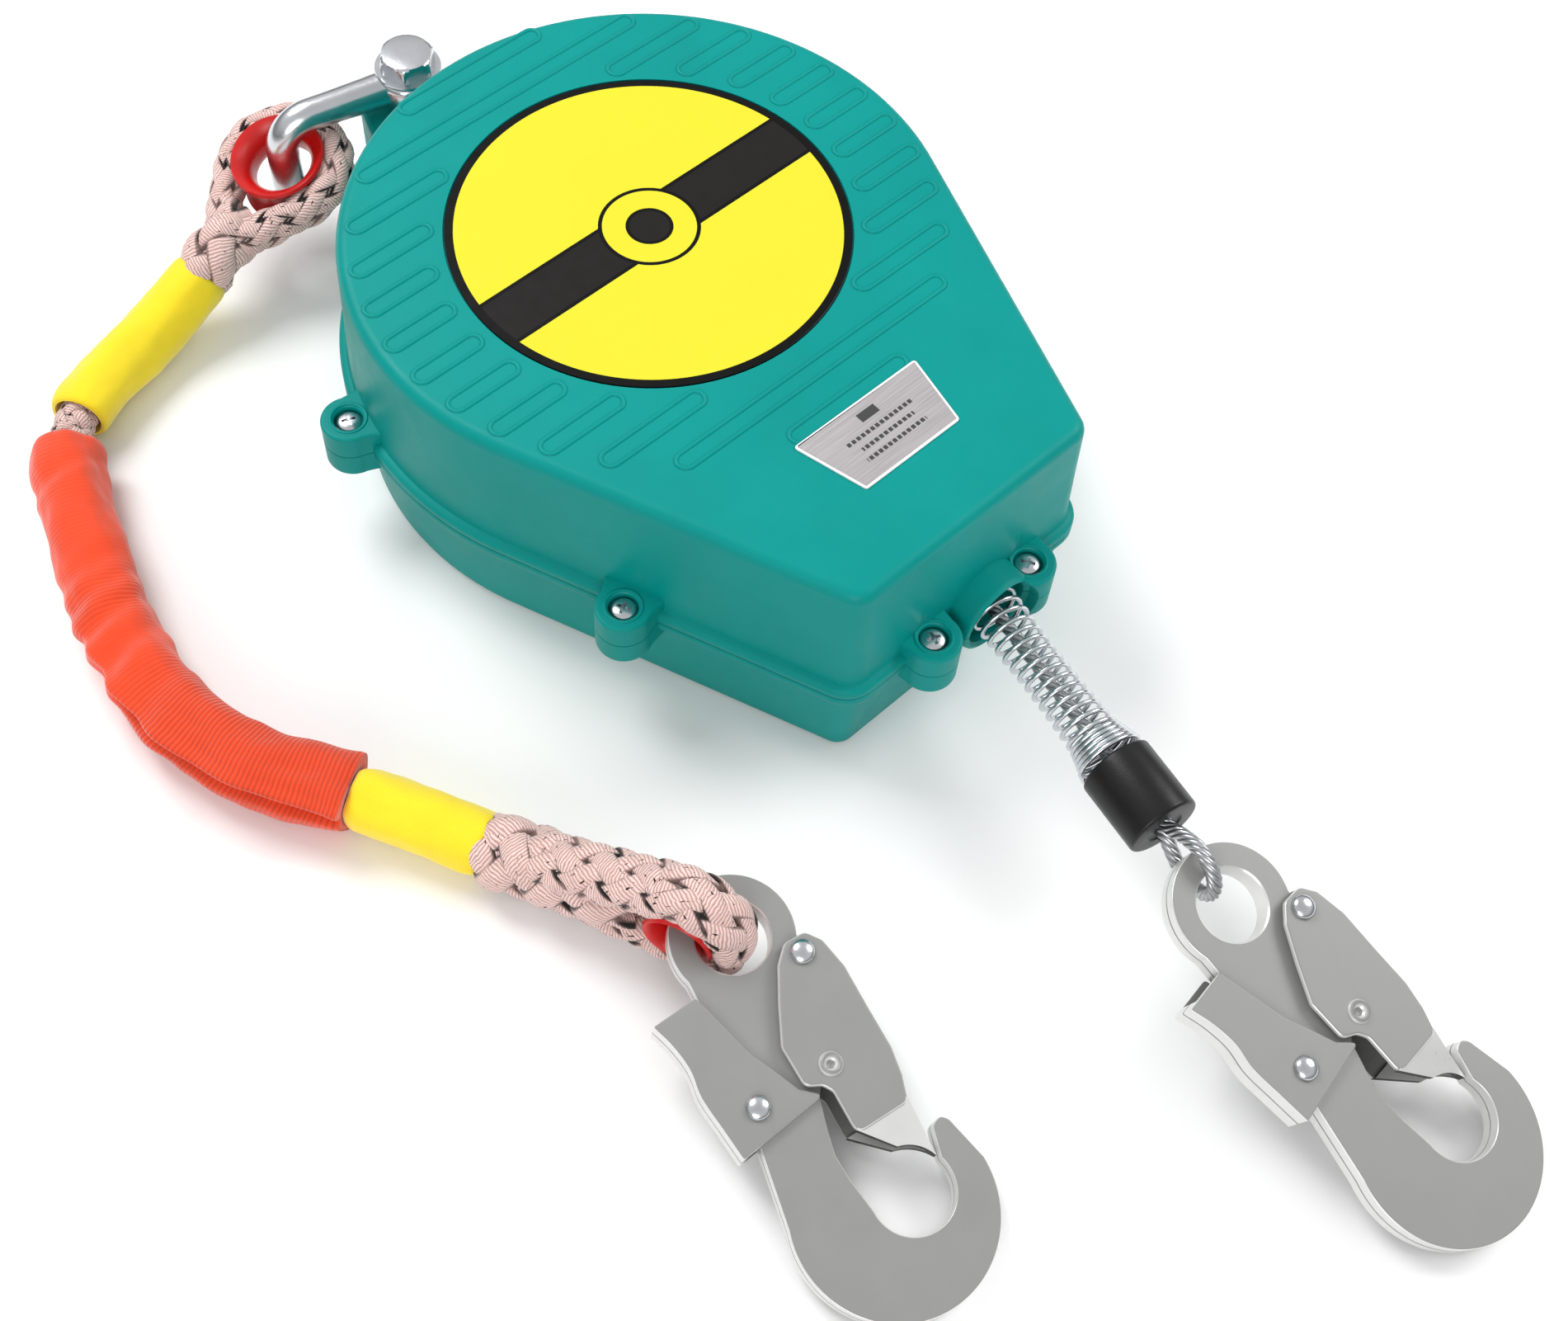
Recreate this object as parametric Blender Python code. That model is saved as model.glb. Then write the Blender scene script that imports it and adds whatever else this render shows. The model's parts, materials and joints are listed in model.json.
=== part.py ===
"""Self retracting lifeline with its two snap hooks and its rope lanyard, lying on its back.

The origin is on the drum's axis at the back face of the case. +Z points out of the front face,
-Y along the case to the nozzle that the line leaves, +Y to the hanger and its shackle.
All sizes below are in millimetres.
"""

import math

import bmesh
import bpy
from mathutils import Matrix, Vector

MM = 0.001
GAP = 0.3                    # clearance between pieces that touch

# Case: the hull of one large circle and two small corner circles, parted at the line's height
CASE_R = 98.0
CORNER_R, CORNER_X, CORNER_Y = 9.0, 42.0, -136.0
CASE_DEPTH = 86.0
PART_Z = 37.0
WALL = 3.5
RIM = 2.4                    # how far the bead stands out at the parting line
LUGS = ((-99.8, 28.6), (-81.0, -80.3), (-18.8, -149.3),
        (99.8, 28.6), (81.0, -80.3), (22.3, -149.3))
LUG_R, LUG_TOP, LUG_BOTTOM = 8.8, 46.0, 28.0
LABEL_R = 63.0
NAMEPLATE = ((-25.0, -91.3), (-19.2, -116.0), (19.2, -116.0), (25.0, -91.3))

# Hanger and shackle
BOLT_Y = 124.0
TAB_BOTTOM, TAB_TOP = 27.0, 47.0
SHACKLE_AZIMUTH = 166.0      # degrees from +X, where the bow lies at rest
BOW_BAR_R, BOW_REACH, BOW_GAP, BOW_CORNER = 5.5, 48.0, 26.0, 12.0
EAR_R, EAR_DEPTH = 11.5, 11.0

# Drum, brake and power spring, listed from the back wall to the front wall
AXLE_R = 6.0
PLATE_DEPTH = 3.0
REAR_PLATE_Z, FRONT_PLATE_Z = 4.3, 78.8
LINING_Z, RATCHET_Z, RATCHET_DEPTH = 7.6, 8.9, 5.0
RATCHET_OUT, RATCHET_TIP, RATCHET_ROOT, RATCHET_TEETH = 60.0, 50.0, 55.0, 10
PAWL_RING, PAWL_Z, PAWL_DEPTH = 38.0, 9.2, 4.5
DRUM_Z0, DRUM_Z1, FLANGE_DEPTH, FLANGE_R, CORE_R = 15.0, 58.8, 2.6, 52.0, 14.0
CUP_Z, CUP_R, CUP_TOP = 59.1, 68.0, 76.5
SPRING_TURNS = 5

# Line: a wire that leaves the drum at a tangent and passes straight through the nozzle
WIRE_R = 2.4
LINE_TURN = 11.2             # degrees that the line leans from -Y towards -X
LINE_RING = 36.0             # pitch radius of the wound wire's outer layer
NOZZLE_X, NOZZLE_R, NOZZLE_BORE, NOZZLE_END = 6.5, 14.5, 11.8, -153.5
BUFFER_START, BUFFER_END, BUFFER_COILS = 143.5, 208.7, 16
STOPPER_START, STOPPER_END, STOPPER_R = 209.2, 233.4, 11.6
LOOP_END, LOOP_R = 256.5, 10.8

# Snap hook, in its own axes: u from the eye to the bend, v to the gate's side, w through the plate
HOOK_EYE_R, HOOK_EYE_OUT = 10.9, 18.4
HOOK_PLATE = 4.0             # half of the body's thickness
BEND_U, BEND_V, BEND_R = 87.2, -3.3, 29.6
THROAT_U, THROAT_V, THROAT_R = 85.4, 4.0, 12.3
GATE_PIVOT = (14.5, 13.6)
LEVER_PIVOT = (44.5, -20.4)
LEVER_IN, LEVER_OUT = 4.4, 5.9
GATE_IN, GATE_OUT = 6.3, 7.8
HOOK_LENGTH = BEND_U + BEND_R
LINE_HOOK_AZIMUTH, LANYARD_HOOK_AZIMUTH = -86.3, -99.2

# Lanyard: the route of its rope over the floor, from the shackle's eye to the lower eye
ROPE_R = 7.0
SLEEVE_IN = 7.8
SLEEVE_R, WEBBING_R = 10.6, 12.3
EYE_ROPE_R = 6.5
UPPER_EYE_Z, UPPER_EYE_HOLE = 36.0, 10.2
LOWER_EYE_HOLE = 9.0
THIMBLE_WALL = 1.5
ROUTE = ((-82.0, 127.5, 26.0), (-96.0, 126.5, 18.0), (-114.0, 123.8, 12.0), (-136.0, 118.0, 11.0),
         (-153.0, 110.5, 11.3), (-164.5, 98.5, 12.3), (-173.0, 82.0, 12.7), (-180.5, 62.0, 12.7),
         (-189.5, 34.5, 12.7), (-194.5, 3.0, 12.7), (-190.5, -24.0, 12.7), (-182.0, -44.5, 12.7),
         (-170.5, -63.0, 12.0), (-158.5, -86.0, 11.2), (-149.0, -107.0, 12.2))
ROUTE_STEP = 12.0
UPPER_SLEEVE = (9.0, 77.0)   # lengths along the route, in millimetres
WEBBING = (92.0, 264.0)
LOWER_SLEEVE = (264.5, 308.5)
LANYARD_HOOK_EYE = (-122.6, -174.4)
HOOK_IN_THIMBLE = 13.4       # from the thimble's centre to the centre of the hook's eye


# ---------------------------------------------------------------- mesh helpers

def arc(cx, cy, radius, start, end, steps):
    """Points on an arc, its angles in degrees."""
    angles = [math.radians(start + (end - start) * i / steps) for i in range(steps + 1)]
    return [(cx + radius * math.cos(a), cy + radius * math.sin(a)) for a in angles]


def circle(radius, z, sides, cx=0.0, cy=0.0):
    return [Vector((cx + x, cy + y, z)) for x, y in arc(0, 0, radius, 0, 360, sides)[:-1]]


def loft(loops, closed=False):
    """Faces between each loop and the next, capped at both ends unless the loops close on themselves."""
    bm = bmesh.new()
    rings = [[bm.verts.new(Vector(p) * MM) for p in loop] for loop in loops]
    count = len(rings[0])
    pairs = list(zip(rings, rings[1:])) + ([(rings[-1], rings[0])] if closed else [])
    for a, b in pairs:
        for i in range(count):
            j = (i + 1) % count
            bm.faces.new((a[i], a[j], b[j], b[i]))
    if not closed:
        bm.faces.new(rings[0])
        bm.faces.new(rings[-1])
    bmesh.ops.recalc_face_normals(bm, faces=bm.faces)
    return bm


def prism(outline, z0, z1):
    return loft([[(x, y, z) for x, y in outline] for z in (z0, z1)])


def turned(profile, sides=24, ring=False):
    """A solid turned about Z from (radius, z) pairs. A ring's profile closes on itself."""
    return loft([circle(r, z, sides) for r, z in profile], closed=ring)


def cylinder(radius, z0, z1, sides=20):
    return turned(((radius, z0), (radius, z1)), sides)


def washer(inner, outer, z0, z1, sides=32):
    return turned(((inner, z0), (outer, z0), (outer, z1), (inner, z1)), sides, ring=True)


def box(x0, x1, y0, y1, z0, z1):
    return prism(((x0, y0), (x1, y0), (x1, y1), (x0, y1)), z0, z1)


def hull(points):
    bm = bmesh.new()
    for p in points:
        bm.verts.new(Vector(p) * MM)
    bmesh.ops.convex_hull(bm, input=bm.verts)
    bmesh.ops.recalc_face_normals(bm, faces=bm.faces)
    return bm


def frames(path, closed=False):
    """(point, side, side) along a path, turned as little as possible from one point to the next."""
    path = [Vector(p) for p in path]
    count = len(path)
    side = None
    out = []
    for i, p in enumerate(path):
        before = path[i - 1] if i or closed else p
        after = path[(i + 1) % count] if i + 1 < count or closed else p
        along = (after - before).normalized()
        if side is None:
            side = along.orthogonal()
        side = (side - along * side.dot(along)).normalized()
        out.append((p, side, along.cross(side)))
    return out


def ring_at(frame, radius, sides):
    p, a, b = frame
    turns = [2 * math.pi * i / sides for i in range(sides)]
    return [p + a * radius * math.cos(t) + b * radius * math.sin(t) for t in turns]


def swept(path, radius, sides=10, closed=False):
    """A round bar along a path. A closed path's frames are turned back evenly so that its ends meet."""
    line = frames(path, closed)
    if closed:
        p, a, b = line[0]
        along = (Vector(path[1]) - Vector(path[-1])).normalized()
        last = (line[-1][1] - along * line[-1][1].dot(along)).normalized()
        twist = math.atan2(last.dot(b), last.dot(a))
        count = len(line)
        line = [(p, a * math.cos(-twist * i / count) + b * math.sin(-twist * i / count),
                 b * math.cos(-twist * i / count) - a * math.sin(-twist * i / count))
                for i, (p, a, b) in enumerate(line)]
    return loft([ring_at(f, radius, sides) for f in line], closed=closed)


def sleeve(path, inner, outer, sides=10):
    """A hollow tube along a path."""
    line = frames(path)
    return loft([ring_at(f, outer, sides) for f in line]
                + [ring_at(f, inner, sides) for f in reversed(line)], closed=True)


def smooth(points, step):
    """A Catmull-Rom curve through the points, read at even lengths."""
    pts = [Vector(p) for p in points]
    pts = [pts[0] * 2 - pts[1]] + pts + [pts[-1] * 2 - pts[-2]]
    fine = []
    for a, b, c, d in zip(pts, pts[1:], pts[2:], pts[3:]):
        for i in range(24):
            t = i / 24
            fine.append(0.5 * (2 * b + (c - a) * t + (2 * a - 5 * b + 4 * c - d) * t ** 2
                               + (3 * b - a - 3 * c + d) * t ** 3))
    fine.append(pts[-2])
    total = sum((q - p).length for p, q in zip(fine, fine[1:]))
    count = max(2, round(total / step))
    return [point_at(fine, total * i / count) for i in range(count + 1)]


def point_at(path, length):
    for a, b in zip(path, path[1:]):
        run = (b - a).length
        if length <= run:
            return a.lerp(b, length / run)
        length -= run
    return path[-1].copy()


def stretch(path, start, end):
    """The part of a path between two lengths along it."""
    out, run = [point_at(path, start)], 0.0
    for a, b in zip(path, path[1:]):
        run += (b - a).length
        if start + 0.5 < run < end - 0.5:
            out.append(b.copy())
    return out + [point_at(path, end)]


# ---------------------------------------------------------------- object helpers

def material(name, colour, roughness, metallic=0.0):
    mat = bpy.data.materials.new(name)
    mat.use_nodes = True
    mat.diffuse_color = (*colour, 1.0)
    shader = mat.node_tree.nodes["Principled BSDF"]
    shader.inputs["Base Color"].default_value = (*colour, 1.0)
    shader.inputs["Roughness"].default_value = roughness
    shader.inputs["Metallic"].default_value = metallic
    return mat


def place(obj, parent, matrix):
    bpy.context.scene.collection.objects.link(obj)
    obj.parent = parent
    if matrix is not None:
        obj.matrix_basis = matrix
    return obj


def solid(name, bm, mat, parent=None, matrix=None):
    """A named piece of the object. Its mesh is in its parent's axes."""
    mesh = bpy.data.meshes.new(name)
    bm.to_mesh(mesh)
    bm.free()
    mesh.materials.append(mat.copy())
    mesh.materials[0].name = name
    mesh.shade_smooth()
    mesh.set_sharp_from_angle(angle=math.radians(35))
    return place(bpy.data.objects.new(name, mesh), parent, matrix)


def helper(name, bm, parent=None, matrix=None):
    mesh = bpy.data.meshes.new(name)
    bm.to_mesh(mesh)
    bm.free()
    obj = place(bpy.data.objects.new(name, mesh), parent, matrix)
    obj.hide_render = True
    obj.display_type = "WIRE"
    return obj


def combine(obj, operation, bm, matrix=None):
    """Cuts a shape from a piece, or joins it on."""
    tool = helper(f"{obj.name}_tool", bm, obj.parent, matrix)
    modifier = obj.modifiers.new(operation.title(), "BOOLEAN")
    modifier.operation = operation
    modifier.solver = "EXACT"
    modifier.object = tool
    return tool


def cut(obj, bm, matrix=None):
    return combine(obj, "DIFFERENCE", bm, matrix)


def join(obj, bm, matrix=None):
    return combine(obj, "UNION", bm, matrix)


def joint_axis(name, matrix, parent=None):
    """An empty on a joint's axis, which the pieces of the moving body hang from."""
    empty = bpy.data.objects.new(name, None)
    empty.empty_display_size = 0.02
    return place(empty, parent, matrix)


def basis(origin, x, y, z):
    return Matrix.Translation(Vector(origin) * MM) @ Matrix((x, y, z)).transposed().to_4x4()


def shifted(x, y, z):
    return Matrix.Translation(Vector((x, y, z)) * MM)


TEAL = material("teal", (0.011, 0.352, 0.305), 0.42)
YELLOW = material("yellow", (0.98, 0.83, 0.05), 0.45)
SILVER = material("silver", (0.66, 0.67, 0.68), 0.35, 0.6)
ZINC = material("zinc", (0.70, 0.72, 0.74), 0.25, 1.0)
STEEL = material("steel", (0.36, 0.36, 0.35), 0.45, 0.8)
DARK = material("dark_steel", (0.16, 0.16, 0.17), 0.5, 0.8)
BLACK = material("rubber", (0.015, 0.015, 0.016), 0.6)
NYLON = material("nylon", (0.03, 0.03, 0.03), 0.5)
BRASS = material("brass", (0.72, 0.50, 0.20), 0.35, 1.0)
RED = material("red", (0.72, 0.02, 0.015), 0.4)
ORANGE = material("orange", (0.90, 0.09, 0.015), 0.85)
GOLD = material("sleeve_yellow", (0.93, 0.66, 0.02), 0.7)
ROPE = material("rope", (0.72, 0.47, 0.43), 0.9)


# ---------------------------------------------------------------- case

def case_outline(offset, z):
    """The case's outline at a height, grown or shrunk by an offset."""
    reach = math.hypot(CORNER_X, CORNER_Y)
    side = math.degrees(math.atan2(CORNER_Y, CORNER_X) + math.acos((CASE_R - CORNER_R) / reach))
    points = (arc(0, 0, CASE_R + offset, side, 180 - side, 30)
              + arc(-CORNER_X, CORNER_Y, CORNER_R + offset, 180 - side, 270, 3)
              + arc(CORNER_X, CORNER_Y, CORNER_R + offset, 270, 360 + side, 3))
    return [(x, y, z) for x, y in points]


def shell(name, loops, lug_z, screw_cut):
    """Half of the case: a drafted cup with its bead, six lugs and its half of the nozzle."""
    obj = solid(name, loft([case_outline(offset, z) for offset, z in loops]), TEAL)
    lug_z0, lug_z1 = lug_z
    for x, y in LUGS:
        join(obj, cylinder(LUG_R, lug_z0, lug_z1, 14), shifted(x, y, 0))
    along_y = Matrix.Rotation(math.radians(90), 4, "X")
    boss = shifted(NOZZLE_X, 0, PART_Z) @ along_y
    join(obj, cylinder(NOZZLE_R, 137.5, -NOZZLE_END, 20), boss)
    cut(obj, cylinder(NOZZLE_BORE, 130.0, 160.0, 20), boss)
    for x, y in LUGS:
        cut(obj, turned(screw_cut, 10), shifted(x, y, 0))
    slot = prism(((-32, 84), (32, 84), (31.6, 110), (-31.6, 110)), TAB_BOTTOM - 0.4, TAB_TOP + 0.4)
    cut(obj, slot)
    return obj


def build_case():
    inside = -WALL
    front_loops = ((inside - 4.0, CASE_DEPTH - WALL), (inside - 2.2, CASE_DEPTH - 6.5),
                   (inside, PART_Z - 1), (RIM, PART_Z - 1), (RIM, PART_Z + 3.6), (-0.2, PART_Z + 5.2),
                   (-1.7, CASE_DEPTH - 3.2), (-2.6, CASE_DEPTH - 1.0), (-4.6, CASE_DEPTH))
    front = shell("front_shell", front_loops, (PART_Z - 1, LUG_TOP),
                  ((2.4, 20.0), (2.4, LUG_TOP - 3.2), (4.7, LUG_TOP - 3.2), (4.7, 60.0)))
    below = box(-200, 200, -200, 200, 0, PART_Z + GAP / 2)
    cut(front, below)
    cut(front, cylinder(LABEL_R + 0.4, CASE_DEPTH - 0.9, CASE_DEPTH + 5, 40))

    rear_loops = ((inside - 6.0, WALL), (inside - 3.0, 7.0), (inside, PART_Z + 1), (RIM, PART_Z + 1),
                  (RIM, PART_Z - 3.6), (-0.2, PART_Z - 5.2), (-2.8, 4.0), (-3.8, 1.2), (-6.0, 0.0))
    rear = shell("rear_shell", rear_loops, (LUG_BOTTOM, PART_Z + 1),
                 ((2.4, 20.0), (2.4, 60.0)))
    above = box(-200, 200, -200, 200, PART_Z - GAP / 2, 120)
    cut(rear, above)

    screw = ((2.0, LUG_BOTTOM + 1.0), (2.0, LUG_TOP - 2.9), (4.1, LUG_TOP - 2.9), (4.1, LUG_TOP - 1.4),
             (3.0, LUG_TOP - 0.5))
    for i, (x, y) in enumerate(LUGS, 1):
        solid(f"case_screw_{i}", turned(screw, 10), ZINC, matrix=shifted(x, y, 0))
    solid("front_label", cylinder(LABEL_R, CASE_DEPTH - 0.6, CASE_DEPTH, 40), YELLOW)
    solid("nameplate", prism(NAMEPLATE, CASE_DEPTH + GAP, CASE_DEPTH + 0.8), SILVER)


# ---------------------------------------------------------------- frame, drum and brake

def build_frame():
    strap = arc(0, 0, 22, 180, 360, 12) + [(22, 85), (-22, 85)]
    for name, z in (("frame_plate_rear", REAR_PLATE_Z), ("frame_plate_front", FRONT_PLATE_Z)):
        plate = solid(name, prism(strap, z, z + PLATE_DEPTH), DARK)
        cut(plate, cylinder(AXLE_R + GAP, z - 5, z + 10))

    tab = [(31, 92), (28, 99)] + arc(0, BOLT_Y, 18, 20, 160, 12) + [(-28, 99), (-31, 92), (-22, 78), (22, 78)]
    hanger = solid("hanger_block", prism(tab, TAB_BOTTOM, TAB_TOP), TEAL)
    join(hanger, box(-21, 21, 77, 86, REAR_PLATE_Z + PLATE_DEPTH + GAP, FRONT_PLATE_Z - GAP))
    cut(hanger, cylinder(5.6, 0, 80), shifted(0, BOLT_Y, 0))
    solid("axle", cylinder(AXLE_R, 3.9, 82.0), DARK)

    solid("brake_lining", washer(RATCHET_ROOT + 1, RATCHET_OUT, LINING_Z, RATCHET_Z - GAP), BLACK)
    ratchet = solid("ratchet_ring", cylinder(RATCHET_OUT, RATCHET_Z, RATCHET_Z + RATCHET_DEPTH, 30), DARK)
    teeth = []
    for i in range(RATCHET_TEETH):
        start = 360 / RATCHET_TEETH * i
        teeth += arc(0, 0, RATCHET_TIP, start, start + 14, 1)
        teeth += arc(0, 0, RATCHET_ROOT, start + 16, start + 34, 2)
    cut(ratchet, prism(teeth, RATCHET_Z - 5, RATCHET_Z + 15))


def build_drum():
    axis = joint_axis("drum_axis", shifted(0, 0, PART_Z))
    down = shifted(0, 0, -PART_Z)
    bore = 9.2
    profile = ((bore, DRUM_Z0), (FLANGE_R, DRUM_Z0), (FLANGE_R, DRUM_Z0 + FLANGE_DEPTH),
               (CORE_R, DRUM_Z0 + FLANGE_DEPTH), (CORE_R, DRUM_Z1 - FLANGE_DEPTH),
               (FLANGE_R, DRUM_Z1 - FLANGE_DEPTH), (FLANGE_R, DRUM_Z1), (bore, DRUM_Z1))
    solid("cable_drum", turned(profile, 32, ring=True), SILVER, axis, down)
    for name, z in (("drum_bush_rear", DRUM_Z0), ("drum_bush_front", DRUM_Z1 - 12)):
        solid(name, washer(AXLE_R + GAP, bore - GAP, z, z + 12, 20), BRASS, axis, down)
    wound_z = (DRUM_Z0 + FLANGE_DEPTH + GAP, DRUM_Z1 - FLANGE_DEPTH - GAP)
    solid("wire_winding", washer(CORE_R + GAP, LINE_RING + WIRE_R, *wound_z, sides=32), ZINC, axis, down)

    cup = ((bore, CUP_Z), (CUP_R, CUP_Z), (CUP_R, CUP_TOP), (CUP_R - 1.5, CUP_TOP),
           (CUP_R - 1.5, CUP_Z + 1.5), (bore, CUP_Z + 1.5))
    solid("spring_cup", turned(cup, 32, ring=True), DARK, axis, down)
    solid("spring_cover", washer(bore, CUP_R, CUP_TOP + GAP, CUP_TOP + 1.8, 32), DARK, axis, down)
    solid("power_spring", power_spring(), STEEL, axis, down)

    # The pawl lies along the drum's rim with its nose inside the ratchet's teeth, and swings out
    pawl = ([(-4.2, -3.0), (-2.0, -5.0), (2.5, -4.6), (4.8, -1.0)]
            + [(5.2, 6.0), (4.2, 13.0), (2.2, 17.2), (-0.8, 16.0), (-3.2, 8.0)])
    for name, azimuth in (("a", 60), ("b", 240)):
        turn = Matrix.Rotation(math.radians(azimuth), 4, "Z")
        pivot = joint_axis(f"pawl_{name}_axis", turn @ shifted(PAWL_RING, 0, -PART_Z), axis)
        body = solid(f"pawl_{name}", prism(pawl, PAWL_Z, PAWL_Z + PAWL_DEPTH), STEEL, pivot)
        cut(body, cylinder(2.6, 0, 30, 12))
        solid(f"pawl_pin_{name}", cylinder(2.3, PAWL_Z - 0.2, DRUM_Z0 - GAP, 12), ZINC, pivot)


def power_spring():
    """A flat coil spring: a strip wound in a spiral from the axle to the cup's wall."""
    inner, outer, thick, steps = 9.6, CUP_R - 3.4, 0.9, 16
    inside, outside = [], []
    for i in range(SPRING_TURNS * steps + 1):
        turn = 2 * math.pi * i / steps
        r = inner + (outer - inner) * i / (SPRING_TURNS * steps)
        inside.append((r * math.cos(turn), r * math.sin(turn)))
        outside.append(((r + thick) * math.cos(turn), (r + thick) * math.sin(turn)))
    bottom, top = CUP_Z + 2.1, CUP_TOP - 0.3
    return loft([[(*a, bottom), (*b, bottom), (*b, top), (*a, top)] for a, b in zip(inside, outside)])


# ---------------------------------------------------------------- line

LEAN = math.radians(LINE_TURN)
LINE_ALONG = Vector((-math.sin(LEAN), -math.cos(LEAN), 0))
LINE_START = Vector((LINE_RING * math.cos(LEAN), -LINE_RING * math.sin(LEAN), PART_Z))
LINE_FRAME = basis(LINE_START, LINE_ALONG.cross(Vector((0, 0, 1))), Vector((0, 0, 1)), LINE_ALONG)


def build_line():
    """Pieces on the line, turned about the line's own Z, which starts where the wire leaves the drum."""
    axis = joint_axis("line_axis", LINE_FRAME)
    bush = washer(6.2, NOZZLE_BORE - GAP - 0.2, 139.0, 146.0, 20)
    solid("nozzle_bush", bush, NYLON,
          matrix=shifted(NOZZLE_X, 0, PART_Z) @ Matrix.Rotation(math.radians(90), 4, "X"))

    solid("line_wire", cylinder(WIRE_R, 19.8, STOPPER_START + 7.7, 12), ZINC, axis)
    stopper = ((2.9, STOPPER_START), (STOPPER_R - 0.8, STOPPER_START), (STOPPER_R, STOPPER_START + 0.8),
               (STOPPER_R, STOPPER_END - 0.8), (STOPPER_R - 0.8, STOPPER_END), (7.4, STOPPER_END),
               (7.4, STOPPER_START + 4.0), (2.9, STOPPER_START + 4.0))
    solid("stopper", turned(stopper, 24, ring=True), BLACK, axis)
    ferrule = ((2.7, STOPPER_START + 4.4), (7.0, STOPPER_START + 4.4), (7.0, STOPPER_END - 2.2),
               (0.4, STOPPER_END - 2.2), (0.4, STOPPER_START + 8.0), (2.7, STOPPER_START + 8.0))
    solid("ferrule", turned(ferrule, 16, ring=True), SILVER, axis)

    # The loop's two legs leave the ferrule side by side and open out around its end bow
    centre = LOOP_END - LOOP_R
    bow = [(0, LOOP_R * math.sin(math.radians(t)), centre + LOOP_R * math.cos(math.radians(t)))
           for t in range(-100, 101, 20)]
    legs = smooth([(0, -2.75, STOPPER_END - 1.1), (0, -3.2, STOPPER_END + 1.5), (0, -7.2, STOPPER_END + 7)]
                  + bow + [(0, 7.2, STOPPER_END + 7), (0, 3.2, STOPPER_END + 1.5), (0, 2.75, STOPPER_END - 1.1)],
                  3.2)
    solid("line_loop", swept(legs, WIRE_R, 8), ZINC, axis)
    solid("buffer_spring", swept(buffer_path(), 0.7, 4), ZINC, axis)


def buffer_path():
    """A coil that is wide at both ends and waisted between them, close wound at the stopper."""
    points, per_turn = [], 8
    count = BUFFER_COILS * per_turn
    for i in range(count + 1):
        t = i / count
        along = t * 1.12 if t < 0.8 else 0.896 + (t - 0.8) * 0.52
        z = BUFFER_START + 0.8 + (BUFFER_END - BUFFER_START - 1.6) * along
        waist = math.sin(math.pi * min(1.0, t / 0.94)) ** 0.7
        radius = 8.4 - 2.3 * waist + 0.5 * t
        turn = 2 * math.pi * i / per_turn
        points.append((radius * math.cos(turn), radius * math.sin(turn), z))
    return points


# ---------------------------------------------------------------- snap hooks

def hook_body_outline():
    eye = arc(0, 0, HOOK_EYE_OUT, 60, 285, 15)
    bend = arc(BEND_U, BEND_V, BEND_R, 248, 448, 16)
    throat = arc(THROAT_U, THROAT_V, THROAT_R, 105, -96, 12)
    nose = [(74.6, 23.8), (72.6, 22.2), (73.2, 18.8), (78.0, 17.2)]
    shank_left = [(14.0, -18.6), (50.0, -24.5)]
    shank_right = [(74.0, -9.0), (66.0, -8.8), (58.0, -6.4), (50.5, -3.6), (38.0, 6.0), (30.0, 11.5), (22.5, 16.0),
                   (17.0, 17.3), (12.0, 16.6)]
    return eye + shank_left + bend + nose + throat + shank_right


def gate_outline():
    outer = [(9.8, 17.4), (14.5, 20.6), (24.0, 21.9), (38.0, 21.0), (50.0, 20.4), (58.0, 18.6), (65.0, 15.8)]
    inner = [(65.0, -1.4), (51.6, -0.6), (48.8, -2.2), (46.5, -6.6), (34.0, -6.2), (23.6, -0.4),
             (14.0, 5.6), (9.6, 10.5)]
    return outer + inner


def lever_outline():
    thumb = [(10.6, -33.2), (18.0, -31.4), (26.0, -30.8), (34.0, -32.2), (44.0, -31.8), (54.2, -31.3)]
    upper = [(50.9, -2.9), (46.0, -8.0), (38.0, -11.2), (30.8, -14.2), (9.7, -18.8)]
    return thumb + upper


def channel(name, outline, inside, outside, pocket, mat, parent, pivot):
    """Two cheeks and the spine that joins them: a plate bent to a U round the hook's body."""
    u, v = pivot
    moved = [(x - u, y - v) for x, y in outline]
    obj = solid(name, prism(moved, -outside, outside), mat, parent)
    cut(obj, prism([(x - u, y - v) for x, y in pocket], -inside, inside))
    return obj


def rivet(name, cheek, parent, pivot):
    """A rivet with a domed head over each cheek."""
    head, base = 3.6, cheek + GAP
    profile = ((2.0, -base - 1.9), (head, -base - 0.5), (head, -base), (2.1, -base), (2.1, base),
               (head, base), (head, base + 0.5), (2.0, base + 1.9))
    solid(name, turned(profile, 10), ZINC, parent, shifted(*pivot, 0))


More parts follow.
